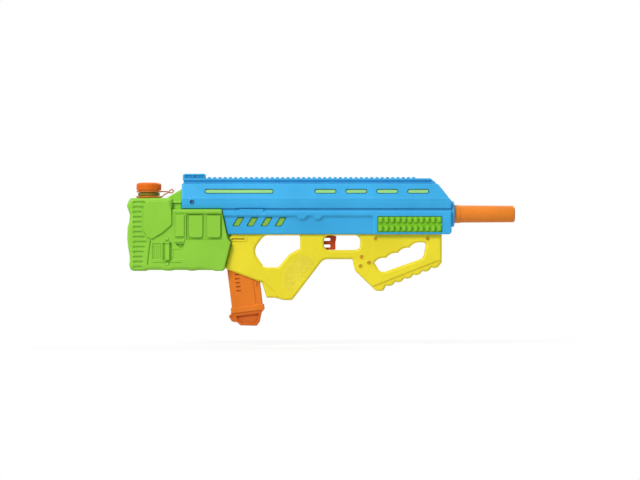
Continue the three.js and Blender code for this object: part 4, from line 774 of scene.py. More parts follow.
rail_outline = rounded(
    [
        (rail_rear, rail_base, 0.5), (rail_front - 8, rail_base, 0.3), (rail_front - 8, rail_foot, 0.3),
        (rail_front, rail_foot, 0.8), (rail_front - 10, rail_top, 3), (rail_rear, rail_top, 0.6),
    ]
)
rail_bar = plate_piece("rail_bar", rail_outline, rail_half, 0.9, blue_finish)
neck_outline = tile(rail_rear + 1, rail_front - 7.6, rail_foot, rail_base + 0.4)
rail_neck = plate_piece("rail_neck", neck_outline, rail_neck_half, 0.3, blue_finish, fill=6, step=4)
tooth_side = rounded(
    [(0, -0.3), (tooth_length, -0.3), (tooth_length - 0.25, tooth_rise, 0.6), (0.25, tooth_rise, 0.6)], 30
)
tooth_end = inward(tooth_side, 0.35)
tooth_rows = [(tooth_end, 0.15 - rail_half), (tooth_side, 0.6 - rail_half)]
tooth_rows += [(tooth_side, rail_half - 0.6), (tooth_end, rail_half - 0.15)]
tooth = shape_only(mesh_piece("rail_tooth", [ring_stack(tooth_rows)], blue_finish))
tooth_tree, given = new_tree(
    "rail_teeth",
    {"Shape": "Object", "Finish": "Material", "Count": "Int", "First": "Vector", "Pitch": "Vector"},
)
line = {"Count": given["Count"], "Start Location": given["First"], "Offset": given["Pitch"]}
tooth_line = node(tooth_tree, "GeometryNodeMeshLine", line, mode="OFFSET")
put_shapes(tooth_tree, tooth_line.outputs["Mesh"], given)
teeth = repeated(
    "rail_teeth", tooth_tree,
    {
        "Shape": tooth, "Finish": blue_finish, "Count": tooth_count,
        "First": (tooth_first * 0.001, 0, rail_top * 0.001), "Pitch": (tooth_pitch * 0.001, 0, 0),
    },
)
bpy.data.objects.remove(tooth)
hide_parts("top_rail")
sight_front, sight_top, sight_half, sight_floor, sight_notch = -152.0, 133.6, 9.5, 130.1, 2.5
sight_outline = rounded(
    [
        (rail_rear, rail_top + 0.3, 0.5), (sight_front, rail_top + 0.3, 0.5),
        (sight_front, sight_top, 3), (rail_rear, sight_top, 3.5),
    ]
)
sight_forms = [
    (tile(-184.5, -155, 127.8, 131.4, 1, 1.2), -1.7, 0.7),
    (disc(-171.5, 130.2, 2.4, 20), 2.2, 0.8),
]
sight_lines = [np.array([(-190, z), (-150, z)]) for z in (sight_floor, sight_floor + 0.25)]
flat, net, rim, height = face_net(sight_outline, [], 1.2, sight_half, sight_forms, sight_lines, 3.0)
back = np.where(flat[:, 1] > sight_floor + 0.1, sight_notch, 0.0)
sight_sides = [between(flat, net, side * height, side * back) for side in (-1, 1)]
sight = mesh_piece("rear_sight_block", sight_sides, blue_finish)
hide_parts("rear_sight")
for piece in (rail_bar, rail_neck, teeth, sight):
    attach(piece, "casing")


# ---- Barrel, collar and nozzle ------------------------------------------------------------------
# Orange barrel with a flange caught inside the casing, a blue collar that closes the casing round
# it, and a small nozzle pressed into its tip.

orange_finish = plastic("barrel_plastic", "#EC8420", "#AC500A", "#F7B06C", seed=51.0)
barrel_z, barrel_radius, barrel_bore = 71.3, 13.4, 11.0
barrel_tip, barrel_draft, tip_soft = 326.8, 0.5, 3.5


def turned(name, profile, axis, centre, material, count=96):
    """Piece turned from a closed profile of (along the axis, radius)."""
    points = []
    for along, radius in profile:
        ring = disc(*centre, radius, count)
        points += [(along, a, b) if axis == "x" else (a, b, along) for a, b in ring]
    form = (points, ring_faces(len(profile), count, closed=True))
    return mesh_piece(name, [form], material, crisp=32, clean=True)


def quarter(along, radius, size, count=5):
    """Rounded outer edge of a profile: a quarter circle of the given size about a centre."""
    turns = [math.radians(90 * t / count) for t in reversed(range(count + 1))]
    return [(along + size * math.cos(turn), radius + size * math.sin(turn)) for turn in turns]


barrel_profile = [
    (205.8, barrel_bore), (205.8, 16.2), (206.1, 16.5), (208.5, 16.5), (208.8, 16.2),
    (208.8, barrel_radius + 0.05), (233.1, barrel_radius + 0.05), (233.15, 13.9), (233.4, 14.1),
    (241.2, 14.1), (241.7, 13.9), (241.9, 13.5), (242.6, 13.42),
]
barrel_profile += [(262 + 18 * k, barrel_radius - barrel_draft * (k + 1) / 4) for k in range(3)]
barrel_profile += quarter(barrel_tip - tip_soft, barrel_radius - barrel_draft - tip_soft, tip_soft)
barrel_profile += [(barrel_tip - 0.1, 9.3), (barrel_tip - 0.6, 9.05), (322.0, 9.0), (318.0, 9.0)]
barrel_profile += [(317.5, barrel_bore)]
collar_profile = [
    (228.3, 14.0), (228.3, 19.2), (228.6, 19.8), (229.1, 20.0), (231.3, 20.0), (232.2, 19.6),
    (232.8, 18.7), (232.8, 15.0), (232.5, 14.2),
]
nozzle_profile = [
    (318.3, 1.0), (318.3, 8.9), (323.6, 8.9), (324.3, 8.4), (324.3, 5.4), (323.6, 4.7), (323.4, 3.4),
    (324.4, 2.6), (324.9, 1.8), (324.8, 1.0),
]
barrel_axis = (0, barrel_z)
barrel = turned("barrel_tube", barrel_profile, "x", barrel_axis, orange_finish, 112)
collar = turned("barrel_collar_ring", collar_profile, "x", barrel_axis, blue_finish, 112)
nozzle = turned("nozzle_insert", nozzle_profile, "x", barrel_axis, orange_finish, 72)
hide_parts("barrel")
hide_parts("barrel_collar")
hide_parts("nozzle")
for piece, finish in ((barrel, "orange_plastic"), (collar, "blue_plastic"), (nozzle, "orange_plastic")):
    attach(piece, "casing")


# ---- Grip frame ---------------------------------------------------------------------------------
# Yellow lower frame in two moulded halves, screwed together and held by a tongue inside the
# receiver: thumb opening, trigger opening and a foregrip with finger dips and a toothed edge. Small
# studs roughen the grip.

yellow_finish = plastic("yellow_plastic", "#F0DE2A", "#B4900A", "#F8F286", rough=(0.28, 0.44), seed=61.0)
frame_half, frame_wall, frame_hollow, frame_skin = 17.0, 2.6, 12.0, 0.4


def scallops(start, end, count, bulge, bow, steps=8):
    """Row of round bumps or dips from one point to another, both included."""
    start, end = np.array(start, float), np.array(end, float)
    along = end - start
    left = np.array((-along[1], along[0])) / np.linalg.norm(along)
    rows = [(*start, 0)]
    for k in range(1, count * steps):
        part, way = (k % steps) / steps, k / (count * steps)
        rise = 4 * bulge * part * (1 - part) + 4 * bow * way * (1 - way)
        rows.append((*(start + along * way + left * rise), 0.0))
    return rows + [(*end, 0)]


frame_outline = rounded(
    [
        (-113.5, 51.8, 2), (-113.6, 38.3, 1), (-116.6, 33.2, 1.5), (-111.6, 27.9, 1.5), (-122.1, -13.2, 3),
        (-65.1, -35.0, 3), (-57.7, -58.4, 2), (-44.2, -58.4, 5), (-31.8, -62.0, 6), (-18.2, -62.0, 4),
        (30.0, 1.2, 13), (74.9, 1.2, 1.5), (79.0, -16.7, 8), (111.3, -47.8, 6), (122.6, -47.8, 4),
    ]
    + scallops((127.3, -39.4), (211.0, -6.3), 6, -3.2, 0.3)
    + [(213.1, -4.0, 1.5), (213.1, 51.8, 2)]
)
opening_top = 38.0
thumb_opening = rounded(
    [
        (-62.0, opening_top, 12), (-79.3, 14.5, 16), (-61.5, -11.3, 8), (-40.0, -11.3, 6),
        (-22.5, 9.3, 9), (-6.1, 18.0, 3), (-6.1, opening_top, 2),
    ]
)
trigger_opening = rounded(
    [(31.0, opening_top, 8.5), (31.0, 15.5, 8.5), (87.0, 15.5, 8), (87.0, opening_top, 8)]
)
foregrip_opening = rounded(
    [(119.0, -20.3, 10), (185.0, 3.0, 11), (189.3, 27.0, 10)]
    + scallops((181.0, 27.2), (109.0, -4.2), 4, -3.0, 0.8)
)
frame_screws = {  # of the right and of the left side
    -1: [(89.1, 5.0), (100.6, -4.0), (87.4, -9.3), (110.8, 33.2), (191.1, 33.2)],
    1: [(-36.0, -50.0), (8.0, -2.0)],
}
boss_radius, pocket_radius = 4.4, 3.0
catch_plate = rounded([(-120, 28.6, 1), (-88.0, 28.6, 2.6), (-88.0, 36.4, 2.6), (-120, 36.4, 1)])
catch_groove = rounded([(-112.5, 31.4, 0.5), (-91.5, 31.4, 1.0), (-91.5, 33.8, 1.0), (-112.5, 33.8, 0.5)])
heel_step = rounded(
    [(-70, -30.0), (-62.0, -33.0, 3), (-45.0, -47.0, 6), (-38.5, -56.0, 4), (-37.0, -70), (-70, -70)]
)
toe_step = rounded(
    [(96, -43.6), (124.5, -32.4, 4), (206.0, -0.2, 4), (219, 3.0), (219, -14), (124, -60), (96, -60)]
)
frame_forms = [
    (catch_plate, 1.1, 0.8), (catch_groove, -1.9, 0.6), (heel_step, -1.4, 1.6), (toe_step, -1.8, 2.0)
]
arm_way, bar_way = (26.8, 47.4, 36.0, 60.0, 4.7), (26.0, 37.5, 15.2, 38.3, 9.4)
magazine_x, magazine_z, magazine_lean = -93.5, -24.14, math.radians(7)


def leaned(u, w):
    """Place of a point of the leaning magazine."""
    sine, cosine = math.sin(magazine_lean), math.cos(magazine_lean)
    return magazine_x + u * cosine - w * sine, magazine_z + u * sine + w * cosine


well = np.stack(leaned(np.array([-24.5, 24.5, 24.5, -24.5]), np.array([-22.0, -22.0, 20.0, 20.0])), 1)
well_reach = 12.45
frame_creases = [box_line(*way[:4]) for way in (arm_way, bar_way)] + [np.concatenate([well, well[:1]])]
frame_pockets = {}
for side, places in frame_screws.items():
    frame_pockets[side] = [(disc(x, z, boss_radius), 0.35, 0.8) for x, z in places]
    frame_pockets[side] += [(disc(x, z, pocket_radius), -1.5, 0.5) for x, z in places]
flat, net, rim, height = face_net(
    frame_outline, [thumb_opening, trigger_opening, foregrip_opening], 4.0, frame_half,
    frame_forms + [(ring, 0.0, run) for ring, _, run in frame_pockets[-1] + frame_pockets[1]],
    frame_creases, depths=(frame_wall, frame_wall + 0.5),
)
ways = [(in_box(flat, *way[:4]), way[4]) for way in (arm_way, bar_way)]
ways.append((depth(flat, well) > -0.01, well_reach))
for side, word in halves:
    face = (flat, net, rim, pressed(flat, height, frame_pockets[side]))
    name = f"grip_frame_{word}"
    half = half_shell(name, face, side, frame_wall, frame_hollow, frame_skin, yellow_finish, ways)
    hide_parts(f"frame_{word}")
    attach(half, "casing")

spread_tree, given = new_tree("spread", {"Geometry": "Geometry", "Shape": "Object", "Finish": "Material"})
turn = node(spread_tree, "GeometryNodeInputNamedAttribute", {"Name": "turn"}, data_type="FLOAT_VECTOR")
put_shapes(spread_tree, given["Geometry"], given, turn.outputs[0])


def seated(x, y, z, side, turn=0.0):
    """Place and turn of a shape that stands on one side of the toy, y from its middle plane."""
    return (x * 0.001, side * y * 0.001, z * 0.001), (-side * math.pi / 2, turn, 0)


stud_pitch, stud_reach, stud_rise, stud_top = 2.8, 1.25, 0.42, 0.3
stud_gap = 6.5  # from a screw's middle
stud_field = rounded(
    [(-32, -18, 3), (-17.5, 0, 3), (-4, 8.5, 3), (14, 5, 4), (18, -5, 3), (-20, -52, 3), (-33, -46, 3)]
)
stud_rows = [(disc(0, 0, stud_reach, 4), -0.1), (disc(0, 0, stud_reach * stud_top, 4), stud_rise)]
stud_points = [(x, y, z) for ring, z in stud_rows for x, y in ring]
stud = shape_only(mesh_piece("stud_shape", [(stud_points, ring_faces(2, 4))], yellow_finish, crisp=10))
stud_spots = np.array(
    [(stud_pitch * (i + 0.5 * (j % 2)), 0.5 * stud_pitch * j) for i in range(-14, 9) for j in range(-40, 10)]
)
stud_spots = stud_spots[depth(stud_spots, stud_field) > 0.8]
stud_places = []
for side, places in frame_screws.items():
    away = np.min([np.hypot(stud_spots[:, 0] - x, stud_spots[:, 1] - z) for x, z in places], axis=0)
    stud_places += [seated(x, frame_half, z, side) for x, z in stud_spots[away > stud_gap]]
studs = repeated("grip_studs", spread_tree, {"Shape": stud, "Finish": yellow_finish}, stud_places)
bpy.data.objects.remove(stud)
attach(studs, "casing")


# ---- Trigger ------------------------------------------------------------------------------------
# Dark orange trigger: a bar on three prongs that slides in the frame, with a lug that keeps it in
# and an arm up to the plunger.

trigger_finish = plastic("trigger_plastic", "#C03E00", "#8A2400", "#E07A3C", rough=(0.3, 0.45), seed=71.0)
trigger_low, trigger_high, prong_root = 15.9, 37.6, 27.4
bar_half, lug_half, arm_half = 6.0, 9.0, 4.0
trigger_gaps = [
    rounded([(29.4, low, 1.2), (41.0, low, 2.0), (41.0, high, 2.0), (29.4, high, 1.2)], 20)
    for low, high in ((19.4, 24.0), (29.6, 34.2))
]
bar_outline = rounded(
    [
        (prong_root, trigger_low, 0.5), (49.2, trigger_low, 2.4), (48.3, 26.0, 40),
        (50.8, trigger_high, 2.2), (prong_root, trigger_high, 0.5),
    ]
)
trigger_bar = plate_piece(
    "trigger_bar", bar_outline, bar_half, 1.3, trigger_finish, trigger_gaps, fill=2.5, step=1.0
)
lug_outline = tile(25.0, 28.0, trigger_low, trigger_high, 0.6)
trigger_lug = plate_piece("trigger_lug", lug_outline, lug_half, 0.6, trigger_finish, step=1.2)
arm_outline = tile(37.0, 46.0, 37.0, 74.5, 0.8, 1.5)
trigger_arm = plate_piece("trigger_arm", arm_outline, arm_half, 0.7, trigger_finish, step=1.6)
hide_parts("trigger")
for piece in (trigger_bar, trigger_lug, trigger_arm):
    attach(piece, "trigger")


# ---- Tank ---------------------------------------------------------------------------------------
# Green blow-moulded water tank behind the grip, with a waved rear edge, rib grooves, a raised cheek
# and moulded panels on both sides; its lug goes into the receiver's rear and is screwed there.

green_finish = plastic(
    "tank_plastic", "#8DCC3A", "#458411", "#C4EC86", rough=(0.26, 0.4), peel=0.16, seed=81.0
)
tank_half, tank_soft, front_soft, lug_half_width, ledge_half = 27.0, 6.0, 2.2, 13.0, 20.0
tank_outline = rounded(
    [
        (-268.5, 95.8, 5), (-273.8, 84.6, 7), (-269.0, 70.4, 9), (-269.8, 60.0, 9), (-272.4, 51.0, 12),
        (-273.0, 34.0, 16), (-271.6, 20.0, 14), (-268.9, 4.0, 12), (-269.9, -7.6, 9), (-267.4, -16.6, 6),
        (-246.0, -16.9, 6), (-240.0, -15.2, 6), (-220.0, -15.2, 6), (-214.0, -16.4, 5), (-206.0, -16.4, 5),
        (-200.0, -15.2, 6), (-182.0, -15.2, 6), (-176.0, -16.4, 5), (-170.0, -16.4, 5), (-164.0, -15.3, 6),
        (-142.0, -15.3, 6), (-137.0, -16.8, 5), (-123.6, -16.6, 5), (-112.7, 26.9, 1.2), (-117.5, 33.2, 1),
        (-119.1, 39.7, 1), (-127.3, 78.4, 1.0), (-203.0, 78.4, 2), (-203.0, 96.1, 5),
    ]
)


def strap_ring(a, b, half):
    """Ring round a straight line."""
    a, b = np.array(a, float), np.array(b, float)
    along = (b - a) / np.linalg.norm(b - a)
    left = np.array((-along[1], along[0])) * half
    return rounded([(*corner, half * 0.9) for corner in (a - left, b - left, b + left, a + left)], 30)


rib_rear, rib_first, rib_pitch, rib_half = -264.6, 88.9, 7.68, 2.7
rib_ends = (
    -244.0, -246.4, -249.0, -249.2, -249.2, -249.2, -248.2,
    -244.2, -241.2, -244.4, -245.6, -247.2, -247.4, -247.6,
)
tank_forms = []
for k, end in enumerate(rib_ends):
    z = rib_first - rib_pitch * k
    tank_forms.append((tile(rib_rear, end, z - rib_half, z + rib_half, 0.98 * rib_half, turn=30), -1.9, 2.4))
cheek = rounded(
    [
        (-246.8, 87.2, 4), (-240.6, 91.6, 5), (-210.2, 91.6, 6), (-203.6, 84.0, 5), (-203.2, 54.0, 5),
        (-218.2, 41.2, 8), (-235.4, 31.4, 4), (-242.2, 34.8, 5), (-248.6, 46.0, 6), (-248.6, 76.0, 8),
    ]
)
buckle_mouth = rounded([(-199.4, 25.4, 0.8), (-184.2, 25.4, 0.8), (-186.4, 18.8, 1.6), (-191.4, 18.8, 1.6)])
disc_x = -211.2
tank_forms += [
    (cheek, 2.6, 1.5),
    (tile(-202.6, -100, 72.2, 90.0, 1), 0.9, 1.0),  # shelf under the receiver
    (tile(-199.0, -184.2, 35.6, 70.8, 1.2), 1.9, 1.1),  # buckle, its foot and its mouth
    (tile(-201.0, -183.6, 27.0, 33.6, 1.2), 1.7, 1.1),
    (buckle_mouth, -2.6, 1.1),
    (tile(-182.0, -126.0, 31.0, 71.6, 2.5, 1.0), -1.9, 1.0),  # field with its two windows
    (tile(-178.4, -155.6, 34.0, 69.8, 5, 1.2), 2.3, 1.1),
    (tile(-150.0, -128.0, 34.0, 69.8, 5, 1.2), 2.3, 1.1),
    (tile(-218.0, -203.2, -0.6, 26.6, 1), -1.6, 0.9),  # strap in its bed
    (tile(-214.8, -206.6, -1.6, 29.0, 1), 3.3, 1.1),
    (tile(-234.2, -219.4, 0.4, 26.0, 1.5), -1.1, 0.9),  # recesses on both sides of the strap
    (tile(-201.8, -185.8, 0.4, 17.0, 1.5), -0.7, 0.9),
    (strap_ring((-236.8, 30.2), (-241.6, -8.0), 1.2), -1.2, 0.9),
    (strap_ring((-234.8, -2.4), (-187.4, -2.4), 1.1), 1.2, 0.8),
    (disc(disc_x, 33.2, 3.0), 1.3, 1.0),
    (disc(disc_x, -6.0, 3.0), 1.3, 1.0),
]
tank_forms += [(strap_ring((x, 2.6), (x, 24.0), 0.9), 0.6, 0.7) for x in (-231.6, -228.4, -225.2, -222.0)]


def tank_edge(x, z):
    """Radius of the tank's edge: smaller in front, where it meets the frame and the receiver."""
    along = np.interp(x, (-160, -140), (tank_soft, front_soft))
    return np.where((z > 72.5) & (x > -203), front_soft, along)


tank = plate_piece(
    "tank_shell", tank_outline, tank_half, tank_soft, green_finish, forms=tank_forms, fill=4.2, step=1.6,
    depths=(0.11, 0.42, 0.91, 1.52, 2.2, 2.7), tight=tank_edge,
)
seam_ring = spaced(tank_outline, 2.0)
seam_rows = ((-0.4, -0.75), (0.0, -0.7), (0.3, -0.3), (0.3, 0.3), (0.0, 0.7), (-0.4, 0.75))
seam_form = ring_stack([(inward(seam_ring, -out), y) for out, y in seam_rows], closed=True)
tank_seam = mesh_piece("tank_parting_line", [seam_form], green_finish, crisp=50)
front_outline = rounded(
    [
        (-136, -8), (-121.5, -8.6), (-112.1, 27.7, 0.5), (-117.1, 33.1, 0.5), (-114.1, 38.2, 0.5),
        (-114.1, 40.6, 0.3), (-118.6, 40.8), (-126.1, 78.2), (-136, 78.2),
    ]
)
tank_rib = plate_piece("tank_front_rib", front_outline, lug_half_width, 0.6, green_finish, fill=6)
lug_outline = rounded(
    [
        (-216.0, 94.0), (-189.0, 110.0, 1.0), (-161.0, 110.0, 2), (-161.0, 82.5, 2),
        (-189.3, 82.5), (-189.3, 72.0), (-216.0, 72.0),
    ]
)
tank_lug = plate_piece("tank_lug", lug_outline, lug_half_width, 1.4, green_finish, fill=5)
ledge_outline = rounded([(-206.0, 68.0), (-206.0, 91.4, 1.0), (-189.4, 91.4, 1.4), (-189.4, 68.0)])
ledge_hollow = rounded([(-203.4, 74.0), (-203.4, 88.4, 0.6), (-188.0, 88.4, 0.6), (-188.0, 74.0)])
tank_ledge = plate_piece(
    "tank_ledge", ledge_outline, ledge_half, 1.6, green_finish, fill=3, forms=[(ledge_hollow, -2.6, 0.8)]
)
neck_x, neck_radius, neck_bore, neck_top = -240.4, 14.2, 11.5, 117.1
neck_collar = 17.0  # keeps the tether's ring on the neck
thread_root, thread_first, thread_pitch = neck_radius - 0.9, 104.7, 3.0
neck_profile = [
    (92.0, neck_bore), (93.5, neck_radius + 1.6), (96.3, neck_radius + 1.2), (97.0, neck_radius),
    (99.4, neck_radius), (99.5, neck_collar - 0.6), (99.9, neck_collar - 0.1), (100.4, neck_collar),
    (103.3, neck_collar), (103.8, neck_collar - 0.15), (104.1, neck_collar - 0.6), (104.15, thread_root),
]
for z in [thread_first + thread_pitch * k for k in range(4)]:
    neck_profile += [(z, thread_root), (z + 0.8, neck_radius)]
    neck_profile += [(z + 1.4, neck_radius), (z + 2.2, thread_root)]
neck_profile += [
    (neck_top - 0.4, thread_root), (neck_top, neck_radius - 1.3), (neck_top, neck_bore + 0.4),
    (neck_top - 0.4, neck_bore),
]
# Painted shade and reflection: the neck belongs to the green tank, coloured dark olive for the cap's shade
# on it and an orange reflection of the cap.
shaded_neck_finish = plastic("shaded_neck_plastic", "#76761A", "#484206", "#A2A848", rough=(0.3, 0.45), seed=82.0)
tank_neck = turned("tank_neck", neck_profile, "z", (neck_x, 0), shaded_neck_finish, 80)
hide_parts("tank")
for piece in (tank, tank_seam, tank_rib, tank_lug, tank_ledge, tank_neck):
    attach(piece, "casing")


# ---- Filler cap and tether ----------------------------------------------------------------------
# Orange screw cap with a knurled skirt over the tank's neck. The tether is one soft moulding: a ring
# below the skirt and a ring on the neck, joined by a thin strap, so that the cap isn't lost.

cap_finish = plastic("cap_plastic", "#E66F04", "#9A3C00", "#F59E54", seed=91.0)
cap_radius, cap_top, cap_skirt, cap_bottom, cap_bore, cap_ceiling = 18.5, 120.2, 107.9, 104.5, 14.6, 119.3
cap_profile = [
    (cap_ceiling, 0.0), (cap_ceiling, cap_bore), (cap_bottom, cap_bore), (cap_bottom, 15.4),
    (cap_bottom + 0.3, 15.7), (cap_skirt - 0.2, 15.7), (cap_skirt, 16.2),
    (cap_skirt + 0.1, cap_radius - 0.4), (cap_skirt + 0.6, cap_radius), (cap_top - 3.8, cap_radius),
]
cap_profile += quarter(cap_top - 3.6, cap_radius - 3.0, 3.0)
cap_profile += [
    (cap_top - 0.35, cap_radius - 4.6), (cap_top - 0.1, cap_radius - 8.0), (cap_top, cap_radius - 12.0),
    (cap_top, 0.0),
]
cap = turned("cap_body", cap_profile, "z", (neck_x, 0), cap_finish)
knurl_count = 44
knurl_ring = rounded([(-0.75, 0.0), (0.75, 0.0), (0.45, 0.9, 0.4), (-0.45, 0.9, 0.4)], 40)
knurl_levels = [
    (cap_skirt + 0.7, 0.0), (cap_skirt + 1.1, 1.0), (cap_top - 3.6, 1.0), (cap_top - 2.4, 0.35),
    (cap_top - 2.0, 0.0),
]
knurl_points = [(y * part - 0.1, x, z) for z, part in knurl_levels for x, y in knurl_ring]
knurl_form = (knurl_points, ring_faces(len(knurl_levels), len(knurl_ring)))
knurl = shape_only(mesh_piece("cap_rib", [knurl_form], cap_finish))
knurl_tree, given = new_tree(
    "cap_ribs",
    {"Shape": "Object", "Finish": "Material", "Count": "Int", "Radius": "Float", "Middle": "Vector"},
)
circle = node(knurl_tree, "GeometryNodeMeshCircle", {"Vertices": given["Count"], "Radius": given["Radius"]})
middle = {"Geometry": circle.outputs["Mesh"], "Translation": given["Middle"]}
placed = node(knurl_tree, "GeometryNodeTransform", middle)
number = node(knurl_tree, "GeometryNodeInputIndex", {}).outputs[0]
part = node(knurl_tree, "ShaderNodeMath", {0: number, 1: given["Count"]}, operation="DIVIDE").outputs[0]
turn = node(knurl_tree, "ShaderNodeMath", {0: part, 1: 2 * math.pi}, operation="MULTIPLY").outputs[0]
upright = node(knurl_tree, "ShaderNodeCombineXYZ", {"Z": turn}).outputs[0]
put_shapes(knurl_tree, placed.outputs[0], given, upright)
cap_ribs = repeated(
    "cap_ribs", knurl_tree,
    {
        "Shape": knurl, "Finish": cap_finish, "Count": knurl_count,
        "Radius": (cap_radius - 0.05) * 0.001, "Middle": (neck_x * 0.001, 0, 0),
    },
)
bpy.data.objects.remove(knurl)
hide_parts("filler_cap")
for piece in (cap, cap_ribs):
    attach(piece, "cap")

# Painted shade: the tether is coloured a darker orange than the cap, for the shade under the cap.
shaded_tether_finish = plastic("shaded_tether_plastic", "#C66410", "#8A3A04", "#E09650", seed=92.0)


def band_ring(name, low, high, bore, radius, soft):
    """Flat moulded ring with softened edges."""
    profile = [(low + soft, bore), (low, bore + soft), (low, radius - soft), (low + soft, radius)]
    profile += [(high - soft, radius), (high, radius - soft), (high, bore + soft), (high - soft, bore)]
    return turned(name, profile, "z", (neck_x, 0), shaded_tether_finish, 80)


cap_ring = band_ring("tether_upper_ring", 104.9, 107.5, 16.25, 19.2, 0.4)
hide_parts("tether_cap_ring")
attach(cap_ring, "cap_ring")
neck_ring = band_ring("tether_lower_ring", 96.4, 99.2, 14.5, 19.7, 0.5)
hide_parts("tether_neck_ring")
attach(neck_ring, "casing")

strap_from, strap_to, strap_side, strap_radius = (-220.9, 106.2), (-220.4, 97.8), 1.4, 0.95
strap_steps = (
    (-1.2, strap_side, 0), (0, strap_side, 0), (5, strap_side, 0), (10.5, 1.3, -0.6), (14.2, 1, -2.2),
    (17.4, 0.4, -1.4), (18.2, 0, 1.4), (15.8, -0.5, 3.2), (12.9, -1, 1.4), (10.5, -strap_side, -1.8),
    (5, -strap_side, -4.6),
)
strap_route = [(strap_from[0] + dx, y, strap_from[1] + dz) for dx, y, dz in strap_steps]
strap_route += [(strap_to[0] + dx, -strap_side, strap_to[1] + dz) for dx, dz in ((0, 0), (-1.2, -0.4))]


def smooth_route(route, parts):
    """Points of a smooth curve through a route."""
    route = [np.array(p, float) for p in route]
    ends = [2 * route[0] - route[1]] + route + [2 * route[-1] - route[-2]]
    out = []
    for a, b, c, d in zip(ends, ends[1:], ends[2:], ends[3:]):
        for t in [k / parts for k in range(parts)]:
            bend, twist = 2 * a - 5 * b + 4 * c - d, 3 * b - a - 3 * c + d
            out.append(0.5 * (2 * b + (c - a) * t + bend * t**2 + twist * t**3))
    out.append(route[-1])
    return out


def tube(name, route, radius, material, count=14):
    """Round strand along a route, with narrowed ends."""
    points, up = [], np.array((0.0, 1.0, 0.0))
    ways = [route[1] - route[0]] + [b - a for a, b in zip(route, route[2:])] + [route[-1] - route[-2]]
    for k, (p, way) in enumerate(zip(route, ways)):
        way = way / np.linalg.norm(way)
        up = up - way * float(up @ way)
        up /= np.linalg.norm(up)
        across = np.cross(way, up)
        size = radius * (0.75 if k in (0, len(route) - 1) else 1.0)
        points += [p + up * a + across * b for a, b in disc(0, 0, size, count)]
    return mesh_piece(name, [(points, ring_faces(len(route), count))], material, crisp=60)


strap = tube("tether_loop", smooth_route(strap_route, 7), strap_radius, shaded_tether_finish)
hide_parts("tether_strap")
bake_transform(strap)


# ---- Magazine -----------------------------------------------------------------------------------
# Orange magazine that slides out of the frame's leaning well: two glued halves with a row of short
# notches, and a base with a band round the top and a flared foot.

magazine_finish = plastic("magazine_plastic", "#E77A1A", "#A04407", "#F2A45E", seed=101.0)
# Painted shade: the foot is coloured a deeper orange than the magazine, for the shade below the band.
shaded_foot_finish = plastic("shaded_foot_plastic", "#D76818", "#933A04", "#F09E58", seed=102.0)
magazine_half, magazine_wall, magazine_hollow, magazine_skin = 12.0, 2.0, 9.6, 0.5
case_half, stem_half, case_foot, stem_top = 24, 14, -50, 28


def mouth_at(u):
    """Height of the well's sloping mouth along the magazine."""
    return -0.530 * u + 1.2


magazine_ring = rounded(
    [
        (-case_half, case_foot, 0.5), (case_half, case_foot, 0.5), (case_half, mouth_at(case_half), 1.5),
        (stem_half, mouth_at(stem_half), 0.5), (stem_half, stem_top, 3), (-stem_half, stem_top, 3),
        (-stem_half, mouth_at(-stem_half), 0.5), (-case_half, mouth_at(-case_half), 1.5),
    ]
)
magazine_forms = []
for w in (2.4, -3.8, -10.0, -16.2, -22.4):
    notch = [(-13.5, w - 1.2, 0.5), (-6.5, w - 1.2, 0.5), (-6.5, w + 1.0, 0.5), (-13.5, w + 1.6, 0.5)]
    magazine_forms.append((rounded(notch), -1.4, 0.6))
magazine_forms += [
    (tile(13.4, 15.0, -45.0, -10.0, 0.6), -0.6, 0.5),
    (tile(18.0, 20.0, -20.0, -13.0, 0.6), -1.0, 0.5),
]
face = face_net(
    magazine_ring, [], 1.8, magazine_half, magazine_forms, fill=4,
    depths=(magazine_wall, magazine_wall + 0.5),
)
for side, word in halves:
    half = half_shell(
        f"magazine_case_{word}", face, side, magazine_wall, magazine_hollow, magazine_skin, magazine_finish,
        ease=0.25, map_point=leaned,
    )
    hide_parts(f"magazine_{word}")
    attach(half, "magazine")
foot_ring = rounded(
    [
        (26, -51, 0.5), (26, -55, 2), (20.8, -59.9, 2), (16.2, -73.7, 3), (11, -79.5, 2), (-14, -75.9, 3),
        (-18.7, -70.5, 2), (-26.6, -68.3, 3), (-30.8, -59.5, 2), (-26.4, -56, 1), (-26, -51, 0.5),
    ]
)
foot_panel = rounded(
    [
        (17.8, -60.4, 1.5), (13.2, -74.4, 3), (9.6, -76.8, 2), (-12.4, -73.2, 3), (-17.4, -67.8, 2),
        (-19.5, -60.4, 1.5),
    ]
)
heel_dent = rounded([(-23.4, -58.4, 1), (-22.4, -66.4, 2), (-28.6, -60.2, 1.5)])
magazine_foot = plate_piece(
    "magazine_foot", foot_ring, magazine_half, 1.8, shaded_foot_finish, map_point=leaned, fill=3, step=1.2,
    forms=[(foot_panel, -3.2, 2.2), (heel_dent, -0.8, 0.8)],
)
magazine_band = plate_piece(
    "magazine_band", tile(-26, 26, -56.4, -47.0, 2.2, 1.6), magazine_half + 1.5, 1.4, magazine_finish,
    map_point=leaned, fill=4, step=1.4,
)
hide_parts("magazine_base")
for piece in (magazine_foot, magazine_band):
    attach(piece, "magazine")


# ---- Screws -------------------------------------------------------------------------------------
# Self-tapping screws with a cross recess, sunk in round pockets: yellow plated ones join the
# receiver and the grip from the left and the frame from the right, and a plain one on each side
# goes into the tank's lug.

screw_finish = plastic(
    "screw_brass", "#DCAA2C", "#94680E", "#EED07A",
    rough=(0.3, 0.46), grain=0.06, peel=0.02, seed=111.0, metal=0.2,
)
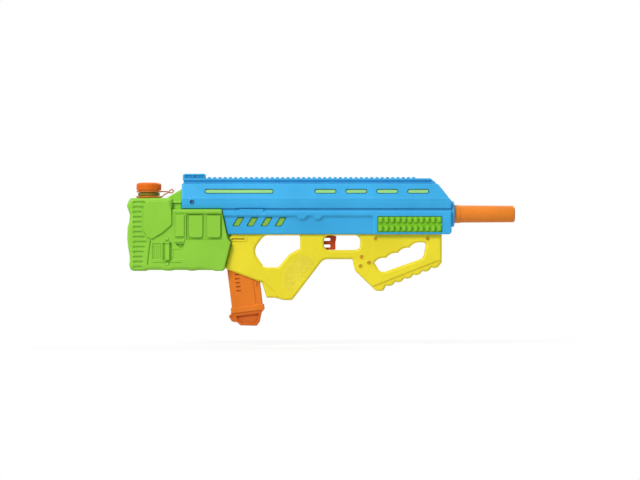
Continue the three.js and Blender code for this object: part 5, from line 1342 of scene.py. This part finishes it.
# Painted reflection: the tank screws' steel is coloured light blue, for the blue casing round them reflected
# in their deep pockets.
blue_reflecting_screw_finish = plastic(
    "tank_screw_steel_blue_reflection", "#6F95B4", "#27485F", "#A9C6DA",
    rough=(0.3, 0.44), grain=0.06, peel=0.02, seed=112.0, metal=0.6,
)
head_radius, shank_radius, shank_length, cross_half, cross_reach = 2.6, 1.2, 9.0, 0.35, 1.5
panel_seat, cheek_seat, frame_seat, lug_seat = 18.1, 20.7, 15.6, 19.9
screw_count = 48
screw_turns = np.arange(screw_count) * 2 * math.pi / screw_count
cosines, sines = np.cos(screw_turns), np.sin(screw_turns)
cross = cross_half / np.maximum(np.minimum(abs(cosines), abs(sines)), cross_half / cross_reach)
screw_rows = [
    (0.0, 0.0), (0.55 * cross, 0.25), (cross, 0.95), (np.maximum(cross + 0.25, 1.75), 1.12), (2.15, 0.98),
    (head_radius - 0.1, 0.6), (head_radius, 0.3), (head_radius, 0.0), (shank_radius, -0.2),
    (shank_radius, -shank_length), (0.05, -shank_length - 1.2),
]
screw_points = []
for radius, rise in screw_rows:
    screw_points += np.stack([radius * cosines, radius * sines, np.full(screw_count, rise)], 1).tolist()
screw_form = (screw_points, ring_faces(len(screw_rows), screw_count, first=False))
screw = shape_only(mesh_piece("screw_shape", [screw_form], screw_finish, crisp=30))
screw_places = []
for k, (x, z) in enumerate(left_screws):
    screw_places.append(seated(x, panel_seat if z < lip else cheek_seat, z, 1, 0.4 + 0.7 * k))
frame_turns = {-1: (0.3, 0.9), 1: (0.5, 0.8)}  # of the first screw, and from one to the next
for side, places in frame_screws.items():
    first, more = frame_turns[side]
    screw_places += [seated(x, frame_seat, z, side, first + more * k) for k, (x, z) in enumerate(places)]
tank_places = [seated(tank_screw_x, lug_seat, tank_screw_z, side, 0.6) for side in (-1, 1)]
screws = repeated("case_screws", spread_tree, {"Shape": screw, "Finish": screw_finish}, screw_places)
tank_screws = repeated(
    "tank_screws", spread_tree, {"Shape": screw, "Finish": blue_reflecting_screw_finish}, tank_places
)
bpy.data.objects.remove(screw)
receiver_nodes = [f"receiver_screw_{k}" for k in (1, 2, 5, 6, 7)]
frame_nodes = [f"frame_screw_{k}" for k in range(1, 8)]
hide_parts(*receiver_nodes, *frame_nodes)
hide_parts("tank_screw_right", "tank_screw_left")
for piece in (screws, tank_screws):
    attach(piece, "casing")
dress(["receiver_screw_3", "receiver_screw_4"], screw_finish)
